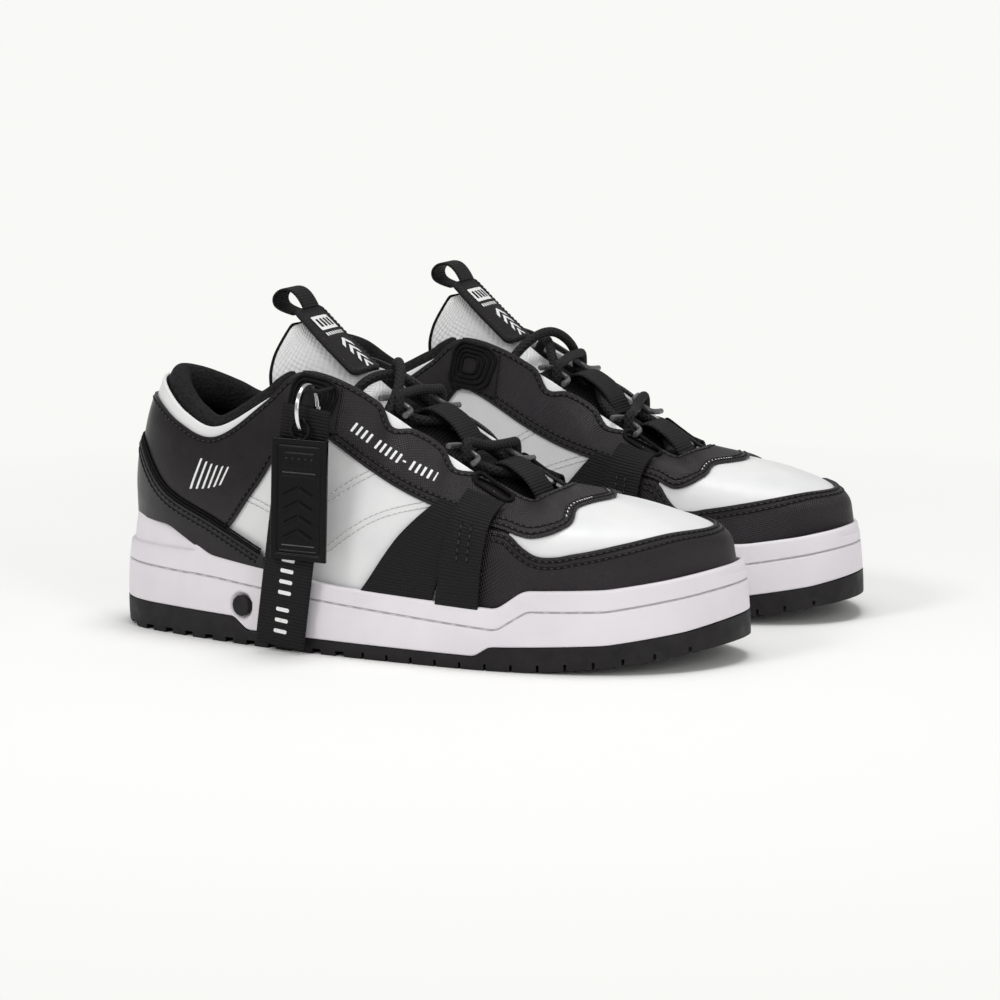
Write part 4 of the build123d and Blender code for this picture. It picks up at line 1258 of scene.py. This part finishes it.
def make_print():
    ink = Heap()
    k0, t0 = find_on_upper(57, 75, 1.0, 4.0)
    put = on_upper(k0, t0, OVERLAY[1] + 0.04)
    for i in range(6):
        x = -9.0 + 3.2 * i
        tall = 15.0 - 1.6 * i
        low, high = -tall / 2, tall / 2
        add_shape(ink, put, [(x, low), (x + 1.1, low), (x + 5.1, high), (x + 4.0, high)])
    # A row of dashes along the eyestay; the wide one is a low dash, and none leaves a gap.
    widths = 4 * [2.4] + [0] + 5 * [2.4] + [3.6] + 4 * [2.4] + [1.4]
    k = np.linspace(5.2, 7.8, 300)
    k, t = move_in(k, both(EYESTAY_LOW)(k), 11.5)
    line = upper(k, t, 0.0)
    s = run_of(line)
    at = float(np.interp(130.5, line[:, 0], s))
    for w in widths:
        if w:
            kk, tt = np.interp(at, s, k), np.interp(at, s, t)
            kb, tb = np.interp(at + 1, s, k), np.interp(at + 1, s, t)
            d = local_on_upper(kk, tt, upper(kb, tb)[None])[0]
            tall = 0.8 if w > 3 else 4.6
            put = on_upper(kk, tt, OVERLAY[1] + 0.04, math.atan2(d[1], d[0]))
            add_shape(ink, put, bar(w * 0.5, tall, 0.3))
        at += (w or 1.4) + 0.6
    front = np.linspace(9.3, 10.9, 12)
    for k in (front, 24 - front):
        for a, b in zip(*move_in(k, both(EYESTAY_LOW)(k), 3.6)):
            add_shape(ink, on_upper(a, b, OVERLAY[1] + 0.04), bar(0.55, 1.7, 0.2))
    pair("plain_marks", ink, "white_ink", slot="white_leather")


make_print()


# ---------------------------------------------------------------- hanging tag
# The strap and the plate hang from the ring, each about a pivot of its own and leaning a few degrees.
RING_X, RING_Y, RING_Z, RING_R, WIRE_R = 114.5, -49.5, 110.5, 11.0, 0.62
STRAP_HANG = ((RING_X, -53.5, 100.25), 7.5)
PLATE_HANG = ((RING_X, -57.0, 102.45), 1.5)


def hung(points, pivot, lean):
    """Points round a pivot, leaned about it, in the shoe's own frame."""
    a = math.radians(lean)
    p = np.asarray(points, float)
    x = p[..., 0] * math.cos(a) + p[..., 2] * math.sin(a)
    z = -p[..., 0] * math.sin(a) + p[..., 2] * math.cos(a)
    return np.stack([x, p[..., 1], z], -1) + pivot


def make_tag():
    heap = Heap()
    y = float(upper(5.33, 0.92, 2.2)[1])
    loop = [(110, y + 1.5), (110.1, -43.8), (110.9, -45.5), (RING_X, -45.7), (118.1, -45.5), (118.9, -43.8),
            (119, y + 1.5)]
    line = curve_through([(*at, 118.3) for at in loop], 8)
    tube(spaced(line, 0.5), 0.9, 10, heap)
    object_from("hang_loop_cord", heap, "black_cord", "right", "right_shoe", ["hang_loop"])
    heap = Heap()
    a = np.linspace(0, 4 * math.pi, 260)
    across = RING_X - WIRE_R + 2 * WIRE_R * a / (4 * math.pi)
    wire = np.stack([across, RING_Y + RING_R * np.cos(a), RING_Z + RING_R * np.sin(a)], 1)
    tube(wire, WIRE_R, 12, heap)
    object_from("split_ring_wire", heap, "steel", "right", "ring", ["split_ring"])
    prof = spaced(closed(bar(24, 2.4, 0.9, 4)), 1.0)[:-1]
    rows, uvs = [], []
    for z in np.linspace(12, -98, 150):
        end = min(1.0, (12.0 - z) / 1.0 + 0.3, (z + 98.0) / 1.0 + 0.3)
        uvs.append(np.column_stack([prof[:, 0], np.full(len(prof), z)]))
        rows.append(np.column_stack([prof * (0.985 + 0.015 * end, end), np.full(len(prof), z)]))
    heap = loft(Heap(), hung(np.array(rows), *STRAP_HANG), np.array(uvs))
    object_from("tag_strap_weave", heap, "black_webbing", "right", "hang_strap", ["tag_strap"])
    ink = Heap()

    def on_strap(xy):
        xy = np.asarray(xy, float)
        return hung(np.column_stack([xy[:, 0], np.full(len(xy), -1.24), xy[:, 1]]), *STRAP_HANG)

    z = -58.0
    for w in (4.2, 4.2, 4.2, 4.2, 0, 4.2, 4.2, 4.2):
        if w:
            add_shape(ink, on_strap, bar(6.4, w * 0.42, 0.4) + (0, z))
        z -= (w or 2.0) + 0.8
    object_from("tag_strap_marks", ink, "white_ink", "right", "hang_strap", slot="white_leather")
    make_plate()


def make_plate():
    """The plate, with a sunk face, a frame, bars and chevrons raised on it, and a tab with an eye."""
    heap = Heap()
    nx, nz = 110, 224
    x = np.linspace(-13.5, 13.5, nx)[:, None] + 0 * np.linspace(0, 1, nz)[None]
    z = np.linspace(-59, -4, nz)[None] + 0 * x
    zc = z + 31.5

    def box(cx, cz, w, h, soft=0.25):
        d = np.maximum(np.abs(x - cx) - w / 2, np.abs(zc - cz) - h / 2)
        return np.clip(-d / soft, 0, 1)

    rise = -0.75 * box(0, 0, 22.5, 50, 0.35)
    rise += 0.55 * (box(0, 0, 20.5, 48, 0.3) - box(0, 0, 19.3, 46.8, 0.3))
    rise += 0.5 * box(0, 20.6, 15.0, 0.7)
    for i in range(5):
        rise += 0.5 * box(-6.2 + 3.1 * i, 16.2, 1.8, 4.6)
    rise += 0.45 * box(0, 11.2, 17.0, 1.9) + 0.45 * box(0, -21.0, 17.0, 0.8)
    for i in range(4):
        arm = np.abs(zc - (5.2 - 6.4 * i) + np.abs(x) * 0.55)
        rise += 0.6 * np.clip((1.1 - arm) / 0.3, 0, 1) * box(0, 2.5 - 6.4 * i, 14.5, 12)
    edge = np.minimum(13.5 - np.abs(x), 27.5 - np.abs(zc))
    round_edge = -0.6 * np.clip(1 - edge / 0.6, 0, 1) ** 2
    front = hung(np.stack([x, -1.5 - rise - round_edge, z], -1), *PLATE_HANG)
    back = hung(np.stack([x, 1.5 + round_edge, z], -1), *PLATE_HANG)
    heap.add(front, quads(nx, nz), np.stack([x, z], -1))
    heap.add(back, turned(quads(nx, nz)), np.stack([x, z], -1))
    off = nx * nz
    ring = [i * nz for i in range(nx)] + [(nx - 1) * nz + j for j in range(1, nz)]
    ring += [i * nz + nz - 1 for i in range(nx - 2, -1, -1)] + [j for j in range(nz - 2, 0, -1)]
    for i in range(len(ring)):
        a, b = ring[i], ring[(i + 1) % len(ring)]
        heap.f.append((b, a, a + off, b + off))
    # The tab with its eye, a flat ring above the plate.
    prof = bar(1.5, 1.7, 0.5, 4)
    rows = []
    for a in np.linspace(0, 2 * math.pi, 60, endpoint=False):
        r = 4.35 + prof[:, 0]
        rows.append(np.stack([r * math.cos(a), prof[:, 1], r * math.sin(a)], 1))
    heap.add(hung(np.array(rows), *PLATE_HANG), quads(60, len(prof), True, True))
    object_from("tag_plate_relief", heap, "black_plastic", "right", "hang_plate", ["tag_plate"])


make_tag()


# ---------------------------------------------------------------- stage, lights, camera
def make_stage():
    mesh = bpy.data.meshes.new("floor")
    r = 40.0
    mesh.from_pydata([(-r, -r, 0), (r, -r, 0), (r, r, 0), (-r, r, 0)], [], [(0, 1, 2, 3)])
    mesh.materials.append(MATS["floor"])
    o = bpy.data.objects.new("floor", mesh)
    bpy.context.scene.collection.objects.link(o)


def lamp(name, at, target, size, power):
    data = bpy.data.lights.new(name, "AREA")
    data.shape, data.size, data.size_y, data.energy = "RECTANGLE", size[0], size[1], power
    o = bpy.data.objects.new(name, data)
    bpy.context.scene.collection.objects.link(o)
    o.location = at
    aim(o, at, target)


def aim(o, at, target):
    o.rotation_euler = (Vector(target) - Vector(at)).to_track_quat("-Z", "Y").to_euler()


def make_lights():
    world = bpy.data.worlds.new("studio")
    bpy.context.scene.world = world
    world.use_nodes = True
    back = world.node_tree.nodes["Background"]
    back.inputs["Color"].default_value = (0.985, 0.985, 0.97, 1)
    back.inputs["Strength"].default_value = 0.45
    lamp("key", (-0.8, -1.5, 1.5), (0, 0, 0.05), (0.6, 0.6), 12)
    lamp("top", (0.15, 0.1, 1.9), (0, 0, 0.05), (0.8, 0.8), 15)
    lamp("side", (1.5, -1.2, 0.8), (0.05, 0, 0.06), (0.7, 1.0), 8)


def make_camera():
    az, el = math.radians(22.93), math.radians(9.16)
    back = np.array((math.sin(az) * math.cos(el), -math.cos(az) * math.cos(el), math.sin(el)))
    target = np.array((-0.008, -0.0089, 0.050))
    distance = 1.74727
    at = target + back * distance
    data = bpy.data.cameras.new("camera")
    data.sensor_width, data.lens = 36, 133.87
    data.shift_x, data.shift_y = 0.02295, 0.01272
    data.clip_end = 200
    o = bpy.data.objects.new("camera", data)
    bpy.context.scene.collection.objects.link(o)
    o.location = at
    aim(o, at, target)
    bpy.context.scene.camera = o


make_stage()
make_lights()
make_camera()
bpy.context.scene.view_settings.view_transform = "Standard"
